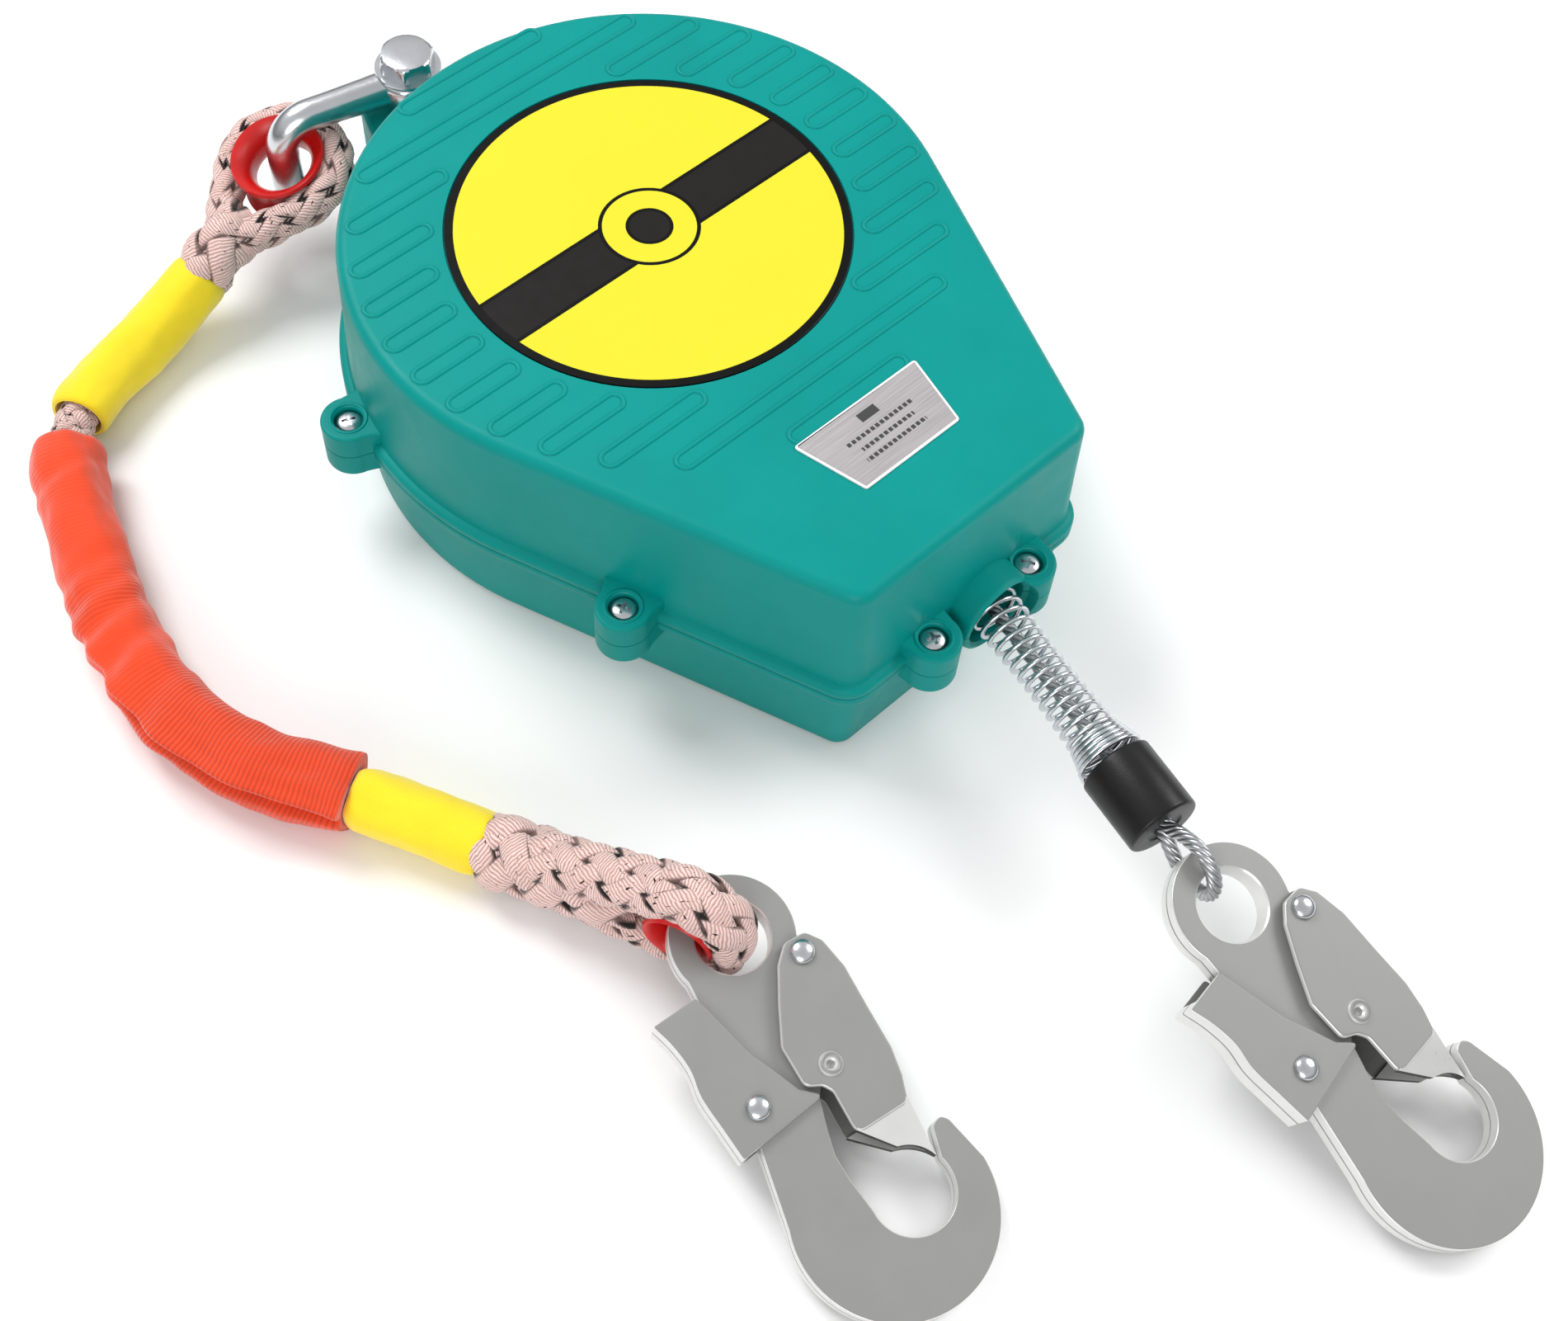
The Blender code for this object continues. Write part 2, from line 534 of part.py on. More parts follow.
def build_hook(prefix, frame):
    """A double-action snap hook: gate and lever hang from their rivets' axes."""
    root = joint_axis(f"{prefix}_hook_axis", frame)
    body = solid(f"{prefix}_hook_body", prism(hook_body_outline(), -HOOK_PLATE, HOOK_PLATE), STEEL, root)
    cut(body, cylinder(HOOK_EYE_R, -20, 20, 20))
    for pivot in (GATE_PIVOT, LEVER_PIVOT):
        cut(body, cylinder(2.4, -20, 20, 12), shifted(*pivot, 0))

    gate_axis = joint_axis(f"{prefix}_gate_axis", shifted(*GATE_PIVOT, 0), root)
    pocket = [(0, -20), (67, -20), (67, 13.6), (58, 17.0), (50, 18.8), (38, 19.4), (24, 20.3), (15, 19.2),
              (8.4, 15.8), (0, 15.8)]
    gate = channel(f"{prefix}_gate", gate_outline(), GATE_IN, GATE_OUT, pocket, STEEL, gate_axis, GATE_PIVOT)
    join(gate, tongue(0.0))
    cut(gate, tongue(1.4))
    cut(gate, cylinder(2.4, -20, 20, 12))

    lever_axis = joint_axis(f"{prefix}_lever_axis", shifted(*LEVER_PIVOT, 0), root)
    pocket = [(0, -29.6), (18, -29.6), (26, -29.2), (34, -30.6), (44, -30.2), (60, -29.6), (60, 10), (0, 10)]
    lever = channel(f"{prefix}_lever", lever_outline(), LEVER_IN, LEVER_OUT, pocket, STEEL, lever_axis,
                    LEVER_PIVOT)
    cut(lever, cylinder(2.4, -20, 20, 12))

    rivet(f"{prefix}_gate_rivet", GATE_OUT, root, GATE_PIVOT)
    rivet(f"{prefix}_lever_rivet", LEVER_OUT, root, LEVER_PIVOT)
    ring = [(3.4 * math.cos(math.radians(t)), 3.4 * math.sin(math.radians(t)), 5.15) for t in range(0, 360, 30)]
    solid(f"{prefix}_gate_spring", swept(ring, 0.6, 5, closed=True), ZINC, root, shifted(*GATE_PIVOT, 0))


def tongue(inset):
    """The gate's end: both cheeks run down to the thickness of the hook's nose. With an inset, its hollow."""
    u, v = GATE_PIVOT
    wide, narrow = GATE_OUT - inset, 1.7 - inset
    start, end = 63.5 - 3 * inset, 80.8 - 1.6 * inset
    top, tip = 16.2 - inset, 15.7 - inset
    low, low_tip = -1.3 - 14 * inset, 13.4 - 8 * inset
    if inset:
        narrow = 0.4
    points = []
    for w in (-1, 1):
        points += [(start - u, low - v, w * wide), (start - u, top - v, w * wide),
                   (end - u, low_tip - v, w * narrow), (end - u, tip - v, w * narrow)]
    return hull(points)


def hook_frame(hold, azimuth, offset, aside=0.0):
    """Axes of a hook whose bend rests on the floor. Its eye's centre lies past the point hold by an offset
    along the hook and another to its side."""
    height = hold[2] - GAP
    reach = offset + HOOK_LENGTH
    tilt = math.asin(height / math.hypot(reach, HOOK_PLATE)) - math.atan2(HOOK_PLATE, reach)
    turn = math.radians(azimuth)
    flat = Vector((math.cos(turn), math.sin(turn), 0))
    along = flat * math.cos(tilt) - Vector((0, 0, math.sin(tilt)))
    side = Vector((-flat.y, flat.x, 0))
    origin = Vector(hold) + along * offset + side * aside
    return basis(origin, along, side, along.cross(side))


# ---------------------------------------------------------------- shackle and lanyard

def build_shackle():
    turn = Matrix.Rotation(math.radians(SHACKLE_AZIMUTH), 4, "Z")
    axis = joint_axis("shackle_axis", shifted(0, BOLT_Y, PART_Z) @ turn)
    half = BOW_GAP / 2 + EAR_DEPTH / 2
    corner = [(BOW_REACH - BOW_CORNER + BOW_CORNER * math.sin(math.radians(t)),
               0, half - BOW_CORNER + BOW_CORNER * math.cos(math.radians(t))) for t in range(0, 91, 15)]
    upper = [(6.0, 0, half)] + corner
    path = upper + [(x, y, -z) for x, y, z in reversed(upper)]
    bow = solid("shackle_bow", swept(path, BOW_BAR_R, 10), ZINC, axis)
    for z in (half, -half):
        join(bow, cylinder(EAR_R, z - EAR_DEPTH / 2, z + EAR_DEPTH / 2, 20))
        cut(bow, cylinder(5.5, z - 15, z + 15, 16))

    top = BOW_GAP / 2 + EAR_DEPTH + GAP
    head = [(9.8 * math.cos(math.radians(t)), 9.8 * math.sin(math.radians(t))) for t in range(0, 360, 60)]
    bolt = solid("shackle_bolt", cylinder(5.0, -top - 10.5, top + 1, 16), ZINC, axis)
    join(bolt, prism(head, top, top + 7.0))
    cut(bolt, cylinder(1.9, -20, 20, 10),
        shifted(0, 0, -top - 8.6) @ Matrix.Rotation(math.radians(90), 4, "X"))
    nut = solid("shackle_nut", prism(head, -top - 6.5, -top), ZINC, axis)
    cut(nut, cylinder(5.4, -60, 60, 16))
    solid("shackle_split_pin", cylinder(1.5, -9.5, 9.5, 8), ZINC, axis,
          shifted(0, 0, -top - 8.6) @ Matrix.Rotation(math.radians(90), 4, "X"))


def eye_path(centre, along, across, radius, splice, closed_step):
    """A rope eye as a closed teardrop: a bow of the given radius and two legs that meet at the splice."""
    centre, along, across = Vector(centre), Vector(along), Vector(across)
    bow = [centre - along * radius * math.cos(math.radians(t)) + across * radius * math.sin(math.radians(t))
           for t in range(-100, 101, 20)]
    legs = [centre + along * splice * 0.45 + across * radius * 0.80,
            centre + along * splice * 0.80 + across * 4.2]
    back = [centre + along * splice * 0.80 - across * 4.2,
            centre + along * splice * 0.45 - across * radius * 0.80]
    points = bow + legs + [centre + along * splice] + back
    curve = smooth(points + points[:1], closed_step)
    return curve[:-1]


def thimble(name, centre, along, across, hole, width, parent):
    """A ring with a channel round it, which keeps the rope's eye open."""
    axle = Vector(along).cross(Vector(across))
    rim, floor = hole + THIMBLE_WALL + 3.0, hole + THIMBLE_WALL
    profile = ((hole, -width / 2), (rim, -width / 2), (rim, -width / 2 + 1.3), (floor, -width / 2 + 1.3),
               (floor, width / 2 - 1.3), (rim, width / 2 - 1.3), (rim, width / 2), (hole, width / 2))
    solid(name, turned(profile, 16, ring=True), RED, parent, basis(centre, Vector(along), Vector(across), axle))


def build_lanyard():
    turn = math.radians(SHACKLE_AZIMUTH)
    crown = Vector((BOW_REACH * math.cos(turn), BOLT_Y + BOW_REACH * math.sin(turn), 0))
    axis = joint_axis("lanyard_axis", shifted(crown.x, crown.y, PART_Z))
    down = shifted(-crown.x, -crown.y, -PART_Z)
    route = smooth(ROUTE, ROUTE_STEP)

    # Upper eye: nearly level, round the upright of the bow
    flat = (Vector(ROUTE[0]) - crown).to_2d().normalized()
    across = Vector((-flat.y, flat.x, 0))
    centre = Vector((crown.x, crown.y, UPPER_EYE_Z)) + Vector((flat.x, flat.y, 0)) * 1.0
    radius = UPPER_EYE_HOLE + THIMBLE_WALL + GAP + EYE_ROPE_R
    splice = (Vector(ROUTE[0]) - centre).length - EYE_ROPE_R - 1.0
    reach = (Vector(ROUTE[0]) - centre).normalized()
    path = eye_path(centre, reach, across, radius, splice, 6.0)
    solid("rope_eye_upper", swept(path, EYE_ROPE_R, 8, closed=True), ROPE, axis, down)
    thimble("thimble_upper", centre - Vector((crown.x, crown.y, PART_Z)), reach, across, UPPER_EYE_HOLE, 15.8,
            axis)

    tube = bpy.data.curves.new("lanyard_rope", "CURVE")
    tube.dimensions = "3D"
    tube.bevel_depth = ROPE_R * MM
    tube.bevel_resolution = 2
    tube.use_fill_caps = True
    spline = tube.splines.new("POLY")
    spline.points.add(len(route) - 1)
    for point, p in zip(spline.points, route):
        point.co = (*(p * MM), 1)
    tube.materials.append(ROPE.copy())
    place(bpy.data.objects.new("lanyard_rope", tube), axis, down)
    solid("sleeve_upper", sleeve(stretch(route, *UPPER_SLEEVE), SLEEVE_IN, SLEEVE_R), GOLD, axis, down)
    solid("webbing_sleeve", sleeve(stretch(route, *WEBBING), SLEEVE_IN, WEBBING_R), ORANGE, axis, down)
    solid("sleeve_lower", sleeve(stretch(route, *LOWER_SLEEVE), SLEEVE_IN, SLEEVE_R), GOLD, axis, down)

    # Lower eye: upright, standing on the floor, with the hook's eye hanging in its thimble
    radius = LOWER_EYE_HOLE + THIMBLE_WALL + GAP + EYE_ROPE_R
    end = route[-1]
    flat = (Vector(LANYARD_HOOK_EYE) - end.to_2d()).normalized()
    centre = Vector((*(Vector(LANYARD_HOOK_EYE) - flat * HOOK_IN_THIMBLE), radius + EYE_ROPE_R + 0.4))
    reach = (end - centre).normalized()
    normal = reach.cross(Vector((0, 0, 1))).normalized()
    across = normal.cross(reach)
    splice = (end - centre).length - EYE_ROPE_R - 1.0
    path = eye_path(centre, reach, across, radius, splice, 6.0)
    lift = max(0.0, EYE_ROPE_R + 0.3 - min(p.z for p in path))
    path = [p + Vector((0, 0, lift)) for p in path]
    centre += Vector((0, 0, lift))
    solid("rope_eye_lower", swept(path, EYE_ROPE_R, 8, closed=True), ROPE, axis, down)
    thimble("thimble_lower", centre - Vector((crown.x, crown.y, PART_Z)), reach, across, LOWER_EYE_HOLE, 15.8,
            axis)
    turn = math.radians(LANYARD_HOOK_AZIMUTH)
    along, side = Vector((math.cos(turn), math.sin(turn))), Vector((-math.sin(turn), math.cos(turn)))
    build_hook("lanyard", hook_frame(centre, LANYARD_HOOK_AZIMUTH, HOOK_IN_THIMBLE * flat.dot(along),
                                     HOOK_IN_THIMBLE * flat.dot(side)))


def main():
    for obj in list(bpy.data.objects):
        bpy.data.objects.remove(obj)
    build_case()
    build_frame()
    build_drum()
    build_line()
    build_hook("line", hook_frame(LINE_START + LINE_ALONG * LOOP_END - Vector((0, 0, 1.5)),
                                  LINE_HOOK_AZIMUTH, 5.8))
    build_shackle()
    build_lanyard()


main()
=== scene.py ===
"""Looks of the self retracting lifeline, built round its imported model.

Lengths are in millimetres in the helpers and in metres in Blender. Every piece is placed by the
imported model's own joints and boxes, in the same frame: back face down, -Y to the nozzle.
"""

import json
from itertools import accumulate, product
from math import acos, atan2, copysign, cos, degrees, exp, hypot, inf, pi, radians, sin, sqrt, tan

import bmesh
import bpy
from mathutils import Euler, Matrix, Vector, noise


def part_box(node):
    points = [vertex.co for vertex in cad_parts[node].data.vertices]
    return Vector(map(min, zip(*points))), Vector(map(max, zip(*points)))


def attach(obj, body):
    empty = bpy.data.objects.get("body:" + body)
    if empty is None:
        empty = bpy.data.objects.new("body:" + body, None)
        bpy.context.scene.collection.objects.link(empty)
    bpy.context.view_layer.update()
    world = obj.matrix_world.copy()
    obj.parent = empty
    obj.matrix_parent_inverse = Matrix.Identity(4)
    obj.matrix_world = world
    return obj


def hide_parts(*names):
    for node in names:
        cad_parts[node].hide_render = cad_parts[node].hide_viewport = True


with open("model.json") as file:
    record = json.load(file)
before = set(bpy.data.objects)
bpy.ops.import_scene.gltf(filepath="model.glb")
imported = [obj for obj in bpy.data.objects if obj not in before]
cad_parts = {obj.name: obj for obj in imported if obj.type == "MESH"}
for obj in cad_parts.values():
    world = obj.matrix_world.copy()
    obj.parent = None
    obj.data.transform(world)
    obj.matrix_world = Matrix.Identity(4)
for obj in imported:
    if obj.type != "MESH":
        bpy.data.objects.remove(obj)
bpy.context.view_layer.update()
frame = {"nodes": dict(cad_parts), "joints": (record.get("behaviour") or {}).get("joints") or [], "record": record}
JOINTS = {joint["name"]: joint for joint in frame["joints"]}
MM = 0.001
GAP = 0.15
WAVE = 0.31416
STRAND_ROUND = 0.02
LOOKS = {}


# ---- material helpers

class Graph:
    """Adds shader nodes to a tree. Most methods return the socket that they make."""

    def __init__(self, tree):
        self.tree = tree

    def put(self, value, socket):
        """Links a socket to an input, or sets the input."""
        if isinstance(value, bpy.types.NodeSocket):
            self.tree.links.new(value, socket)
        else:
            socket.default_value = (*value, 1) if socket.type == "RGBA" else value

    def node(self, kind, **values):
        """A node. Inputs are named with underscores for spaces; other values are its properties."""
        made = self.tree.nodes.new("ShaderNode" + kind)
        for key, value in values.items():
            label = key.replace("_", " ")
            if label in made.inputs:
                self.put(value, made.inputs[label])
            else:
                setattr(made, key, value)
        return made

    def math(self, operation, *values):
        made = self.node("Math", operation=operation)
        for value, socket in zip(values, made.inputs):
            self.put(value, socket)
        return made.outputs[0]

    def times(self, a, b):
        return self.math("MULTIPLY", a, b)

    def split(self, kind="Object"):
        """The x, y and z of a kind of coordinates."""
        return self.node("SeparateXYZ", Vector=self.node("TexCoord").outputs[kind]).outputs

    def place(self, kind="Object", scale=(1, 1, 1), turn=0):
        source = self.node("TexCoord").outputs[kind]
        return self.node("Mapping", Vector=source, Scale=scale, Rotation=(0, 0, turn)).outputs["Vector"]

    def noise(self, at, scale, detail=3, rough=0.55):
        return self.node("TexNoise", Vector=at, Scale=scale, Detail=detail, Roughness=rough).outputs["Fac"]

    def wave(self, at, pitch, direction, **values):
        """Bands at a pitch in metres."""
        values["bands_direction"] = direction
        return self.node("TexWave", Vector=at, Scale=WAVE / pitch, **values).outputs["Fac"]

    def ramp(self, value, *stops):
        """A colour ramp from (position, colour) pairs. A colour may be one number."""
        made = self.node("ValToRGB", Fac=value)
        elements = made.color_ramp.elements
        while len(elements) < len(stops):
            elements.new(0.5)
        for element, (position, colour) in zip(elements, stops):
            element.position = position
            shade = colour if isinstance(colour, tuple) else (colour, colour, colour)
            element.color = (*shade, 1)
        return made.outputs["Color"]

    def mix(self, factor, a, b, blend_type="MIX"):
        made = self.node("Mix", data_type="RGBA", blend_type=blend_type)
        for value, number in ((factor, 0), (a, 6), (b, 7)):
            self.put(value, made.inputs[number])
        return made.outputs[2]


class Look(Graph):
    """A material with one shader, kept in LOOKS by its name."""

    def __init__(self, name, colour, roughness, metallic=0, specular=0.5, sheen=0):
        material = bpy.data.materials.new(name)
        material.use_nodes = True
        material.diffuse_color = (*colour, 1)
        super().__init__(material.node_tree)
        LOOKS[name] = material
        self.shader = self.tree.nodes["Principled BSDF"].inputs
        self.set("Base Color", colour)
        self.set("Roughness", roughness)
        self.set("Metallic", metallic)
        self.set("Specular IOR Level", specular)
        self.set("Sheen Weight", sheen)

    def set(self, label, value):
        self.put(value, self.shader[label])

    def bump(self, *heights):
        """Chains bumps on the shader from (height, distance in metres, strength) triples."""
        values = {}
        for height, distance, strength in heights:
            made = self.node("Bump", Height=height, Distance=distance, Strength=strength, **values)
            values["Normal"] = made.outputs["Normal"]
        self.set("Normal", values["Normal"])

    def vary(self, colour, share, noise_map, low, high):
        """Makes the base colour darker where a noise is low, and paler where it is high."""
        deep, pale = scaled(colour, 1 - share), scaled(colour, 1 + share)
        self.set("Base Color", self.ramp(noise_map, (low, deep), (high, pale)))


def scaled(colour, factor):
    return tuple(min(1, c * factor) for c in colour)


# ---- materials

def moulded(name, colour, roughness, grain=0.00004, specular=0.5, variation=0.06):
    """Moulded plastic or rubber with a fine grain and a little soiling."""
    look = Look(name, colour, roughness, specular=specular)
    at = look.place()
    look.vary(colour, variation, look.noise(at, 28, 4), 0.3, 0.7)
    soiling = look.noise(at, 90, 5)
    look.set("Roughness", look.ramp(soiling, (0.3, roughness - 0.05), (0.75, roughness + 0.07)))
    look.bump((look.noise(at, 1500, 2), grain, 0.5), (look.noise(at, 260, 3), grain * 1.5, 0.35))


def metal(name, colour, roughness, metallic=1, brushed=(1, 1, 1), grain=0.00003, variation=0.05):
    """Plated or machined metal: cloudy plating, fine scratches and small pits."""
    look = Look(name, colour, roughness, metallic)
    at = look.place()
    clouds = look.noise(at, 55, 5, 0.6)
    scratch = look.noise(look.place(scale=brushed), 900, 3, 0.7)
    look.vary(colour, variation, clouds, 0.28, 0.72)
    rough = look.math("ADD", look.times(scratch, 0.16), look.times(clouds, 0.14))
    look.set("Roughness", look.math("ADD", rough, roughness - 0.15))
    look.bump((scratch, grain, 0.4), (look.noise(at, 420, 2), grain, 0.3))


def fabric(name, colour, pitch, ribbed, soil=0.1, relief=0.00018, worn_over=0, contrast=0.28):
    """Woven cloth. UV runs along the piece and round it in metres; ribs lie across it.

    Cloth that is worn over a length in metres shows its ribs less at its start."""
    look = Look(name, colour, 0.85, specular=0.25, sheen=0.35)
    look.set("Sheen Roughness", 0.5)
    flat = look.place("UV")
    ribs = look.wave(flat, pitch, "X", Distortion=0.6, Detail=2, Detail_Scale=1.5)
    warp = look.wave(flat, pitch, "Y", Distortion=0.5, Detail=1)
    threads = look.math("ADD", look.times(warp, 1 - ribbed), ribbed)
    weave = look.times(ribs, threads)
    at = look.place()
    if worn_over:
        share = look.math("DIVIDE", look.split("UV")[0], worn_over)
        along = look.ramp(share, (0, 0.86), (0.3, 0.92), (0.4, 0.42), (0.47, 0.9), (0.56, 0.72), (0.66, 0))
        patches = look.ramp(look.noise(at, 26, 3), (0.38, 0.8), (0.58, 1))
        weave = look.mix(look.mix(1, along, patches, "MULTIPLY"), weave, (0.6, 0.6, 0.6))
    shade = look.ramp(weave, (0, scaled(colour, 1 - contrast)), (0.45, colour), (1, scaled(colour, 1.08)))
    dirt = look.ramp(look.noise(at, 65, 5, 0.6), (0.45, 0), (0.8, soil * 4))
    look.set("Base Color", look.mix(dirt, shade, scaled(colour, 0.62)))
    fuzz = look.noise(at, 2200, 2, 0.7)
    look.bump((weave, relief, 0.8), (fuzz, 0.00005, 0.4), (look.noise(at, 150, 3), 0.0003, 0.35))


def plaited(name, colour, pale, fleck_and_deep_shade):
    """Plaited yarn: cross-threads, painted shade in the grooves between the strands that is deepened in patches,
    and dark flecks.
    """
    look = Look(name, colour, 0.9, specular=0.15, sheen=0.3)
    slant = look.place("UV", turn=0.5)
    threads = look.wave(slant, 0.00105, "X", Distortion=3.4, Detail=3, Detail_Scale=1.4)
    groove = look.wave(look.place("UV"), STRAND_ROUND / 2, "Y", Distortion=0, Phase_Offset=pi)
    # painted shade: a mask of the grooves between the strands
    edge = look.ramp(groove, (0.04, 1), (0.32, 0))
    flecks = look.noise(look.place("UV", scale=(0.3, 1, 1)), 900, 2, 0.6)
    groove_shade_patches = look.ramp(look.noise(look.place(), 90, 2), (0.46, 0), (0.53, 1))
    cloud = look.noise(look.place(), 160, 3)
    body = look.ramp(threads, (0, scaled(colour, 0.6)), (0.42, colour), (1, pale))
    body = look.mix(look.ramp(cloud, (0.4, 0), (0.75, 0.4)), body, scaled(colour, 0.75))
    # painted shade in the grooves between the strands
    body = look.mix(edge, body, scaled(colour, 0.26))
    # painted deep shade in patches along the grooves, joined with the real dark flecks
    dark = look.times(edge, groove_shade_patches)
    dark = look.math("MAXIMUM", dark, look.ramp(flecks, (0.64, 0), (0.68, 1)))
    look.set("Base Color", look.mix(dark, body, fleck_and_deep_shade))
    look.bump((threads, 0.00018, 0.7), (cloud, 0.0004, 0.3))


def label_print(name, radius):
    """A yellow film with a dark edge, band, hub ring and dot, given as shares of its radius."""
    band, hub, line, rim, dot, dot_edge = 0.14, 0.243, 0.01, 0.957, 0.1, 0.118
    yellow, dark, black = (0.68, 0.63, 0.028), (0.011, 0.009, 0.009), (0.001, 0.001, 0.001)
    look = Look(name, yellow, 0.32, specular=0.17)
    x, y = (look.math("DIVIDE", part, radius * MM) for part in look.split()[:2])
    across = look.math("ABSOLUTE", y)
    out = look.math("SQRT", look.math("ADD", look.times(x, x), look.times(y, y)))
    past_hub = look.math("GREATER_THAN", out, hub)

    def inside(distance, limit):
        return look.math("LESS_THAN", distance, limit)

    def near(distance, place):
        return inside(look.math("ABSOLUTE", look.math("SUBTRACT", distance, place)), line)

    film = look.ramp(look.noise(look.place(), 22, 3), (0.3, scaled(yellow, 0.97)), (0.7, yellow))
    shade = look.mix(look.times(inside(across, band), past_hub), film, dark)
    lines = look.times(near(across, band), past_hub)
    for more in (look.math("GREATER_THAN", out, rim), near(out, hub), inside(out, dot_edge)):
        lines = look.math("MAXIMUM", lines, more)
    shade = look.mix(lines, shade, black)
    look.set("Base Color", look.mix(inside(out, dot), shade, dark))
    look.set("Roughness", look.ramp(look.noise(look.place(), 200, 4), (0.3, 0.28), (0.7, 0.38)))
    look.bump((look.noise(look.place(), 700, 2), 0.00002, 0.3))


def plate_print(name, low, high):
    """The nameplate: brushed metal with a printed block and three lines of short dashes."""
    line, block = 0.0007, 0.0016
    look = Look(name, (0.4, 0.38, 0.38), 0.4, 0.25)
    x, y, _ = look.split()
    dashes = look.math("GREATER_THAN", look.wave(look.node("TexCoord").outputs["Object"], 0.0019, "X"), 0.22)
    bars = 0
    for share, half, thick in ((0.22, 0.0035, block), (0.42, 0.0135, line), (0.57, 0.0105, line),
                               (0.72, 0.012, line)):
        away = look.math("ABSOLUTE", look.math("SUBTRACT", y, high.y - share * (high.y - low.y)))
        inside = look.math("LESS_THAN", look.math("ABSOLUTE", x), half)
        bar = look.times(look.math("LESS_THAN", away, thick), inside)
        if thick == line:
            bar = look.times(bar, dashes)
        bars = look.math("MAXIMUM", bars, bar)
    brush = look.noise(look.place(scale=(0.03, 1, 1)), 1800, 2)
    base = look.ramp(brush, (0.3, (0.34, 0.32, 0.33)), (0.7, (0.44, 0.42, 0.43)))
    look.set("Base Color", look.mix(bars, base, (0.05, 0.05, 0.05)))
    look.bump((brush, 0.00002, 0.4))


def make_looks():
    moulded("teal_plastic", (0.0002, 0.25, 0.228), 0.42, variation=0.05, specular=0.13)
    moulded("black_rubber", (0.007, 0.007, 0.007), 0.34, 0.00006, specular=0.3)
    moulded("black_nylon", (0.01, 0.01, 0.01), 0.4)
    moulded("red_nylon", (0.55, 0.006, 0.005), 0.3, 0.00005, variation=0.18)
    moulded("friction", (0.035, 0.03, 0.027), 0.85, 0.0002, variation=0.3)
    moulded("pale_edge", (0.85, 0.84, 0.85), 0.35)
    metal("zinc", (0.62, 0.64, 0.67), 0.23, grain=0.000012)
    metal("wire_zinc", (0.45, 0.46, 0.47), 0.32, grain=0.000012)
    metal("hook_steel", (0.264, 0.264, 0.255), 0.48, 0.25, grain=0.00001, variation=0.03)
    # painted highlight: a pale steel put on the hook's cut edges and on the gate's sloping tongue
    metal("hook_painted_highlight", (0.74, 0.74, 0.73), 0.32, 0.5, grain=0.000006)
    # painted shade: a near black steel put in the gate's throat
    metal("hook_shade", (0.022, 0.022, 0.022), 0.5, 0.3, grain=0.00001)
    metal("machined_steel", (0.32, 0.32, 0.33), 0.4, brushed=(1, 0.05, 1))
    metal("cast_alloy", (0.6, 0.61, 0.62), 0.5, grain=0.00015)
    metal("bronze", (0.62, 0.4, 0.15), 0.38)
    fabric("webbing", (0.76, 0.058, 0.012), 0.0015, 0.85, relief=0.00036, worn_over=0.172)
    fabric("yellow_fabric", (0.93, 0.7, 0.016), 0.0008, 0.5, soil=0.05, relief=0.00004, contrast=0.1)
    plaited("rope", (0.7, 0.44, 0.4), (0.86, 0.68, 0.64), (0.012, 0.008, 0.008))
    label_print("label_print", LABEL_R)
    plate_print("nameplate_print", *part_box("nameplate"))


# ---- camera, light and floor

CAMERA_AT = (-0.30039, -0.34307, 0.58229)
CAMERA_TURN = (31.2146, -2.9905, -43.1801)
CAMERA_LENS, CAMERA_SHIFT = 48.95, -0.002
FLOOR_REACH = 4


def linked(name, data):
    obj = bpy.data.objects.new(name, data)
    bpy.context.scene.collection.objects.link(obj)
    return obj


def area_light(name, at, towards, size, power):
    light = bpy.data.lights.new(name, "AREA")
    light.shape = "DISK"
    light.size = size
    light.energy = power
    obj = linked(name, light)
    obj.location = at
    obj.rotation_euler = (Vector(towards) - Vector(at)).to_track_quat("-Z", "Y").to_euler()


def build_camera():
    camera = bpy.data.cameras.new("camera")
    camera.lens = CAMERA_LENS
    camera.sensor_width = 36
    camera.shift_y = CAMERA_SHIFT
    camera.clip_start = 0.01
    obj = linked("camera", camera)
    turn = Euler([radians(angle) for angle in CAMERA_TURN])
    obj.matrix_world = Matrix.Translation(CAMERA_AT) @ turn.to_matrix().to_4x4()
    bpy.context.scene.camera = obj


def build_light():
    area_light("key", (-0.15, 0.75, 1.1), (-0.05, -0.05, 0), 0.7, 11)
    area_light("fill", (-1.1, -0.9, 0.7), (-0.05, -0.1, 0.03), 0.9, 8.5)
    area_light("side", (1, -0.5, 0.9), (0, -0.1, 0), 0.7, 8.5)
    world = bpy.data.worlds.new("studio")
    world.use_nodes = True
    sky = Graph(world.node_tree)
    background = world.node_tree.nodes["Background"].inputs
    height = sky.split("Generated")[2]
    sky.put(sky.ramp(height, (0, 0.16), (0.18, 0.34), (0.55, 1), (1, 0.85)), background["Color"])
    sky.put(0.72, background["Strength"])
    bpy.context.scene.world = world
    bpy.context.scene.view_settings.view_transform = "Standard"


def build_floor():
    mesh = bpy.data.meshes.new("floor")
    mesh.from_pydata([(x, y, 0) for x, y in rectangle(FLOOR_REACH, FLOOR_REACH)], [], [(0, 1, 2, 3)])
    floor = linked("floor", mesh)
    Look("floor", (0.93, 0.93, 0.93), 0.75)
    mesh.materials.append(LOOKS["floor"])


# ---- mesh helpers, in millimetres

def circle(count):
    """The angles of that many points round a circle."""
    return [2 * pi * i / count for i in range(count)]


def quarter(steps):
    """Angles from 0 to a right angle in even steps."""
    return [pi / 2 * k / steps for k in range(steps + 1)]


def arc(cx, cy, radius, start, end, steps):
    angles = [radians(start + (end - start) * i / steps) for i in range(steps + 1)]
    return [(cx + radius * cos(a), cy + radius * sin(a)) for a in angles]


def runs(points, closed=False):
    """The length along a line up to each of its points, and back to the first one if it is closed."""
    after = points[1:] + (points[:1] if closed else [])
    return list(accumulate(((q - p).length for p, q in zip(points, after)), initial=0))


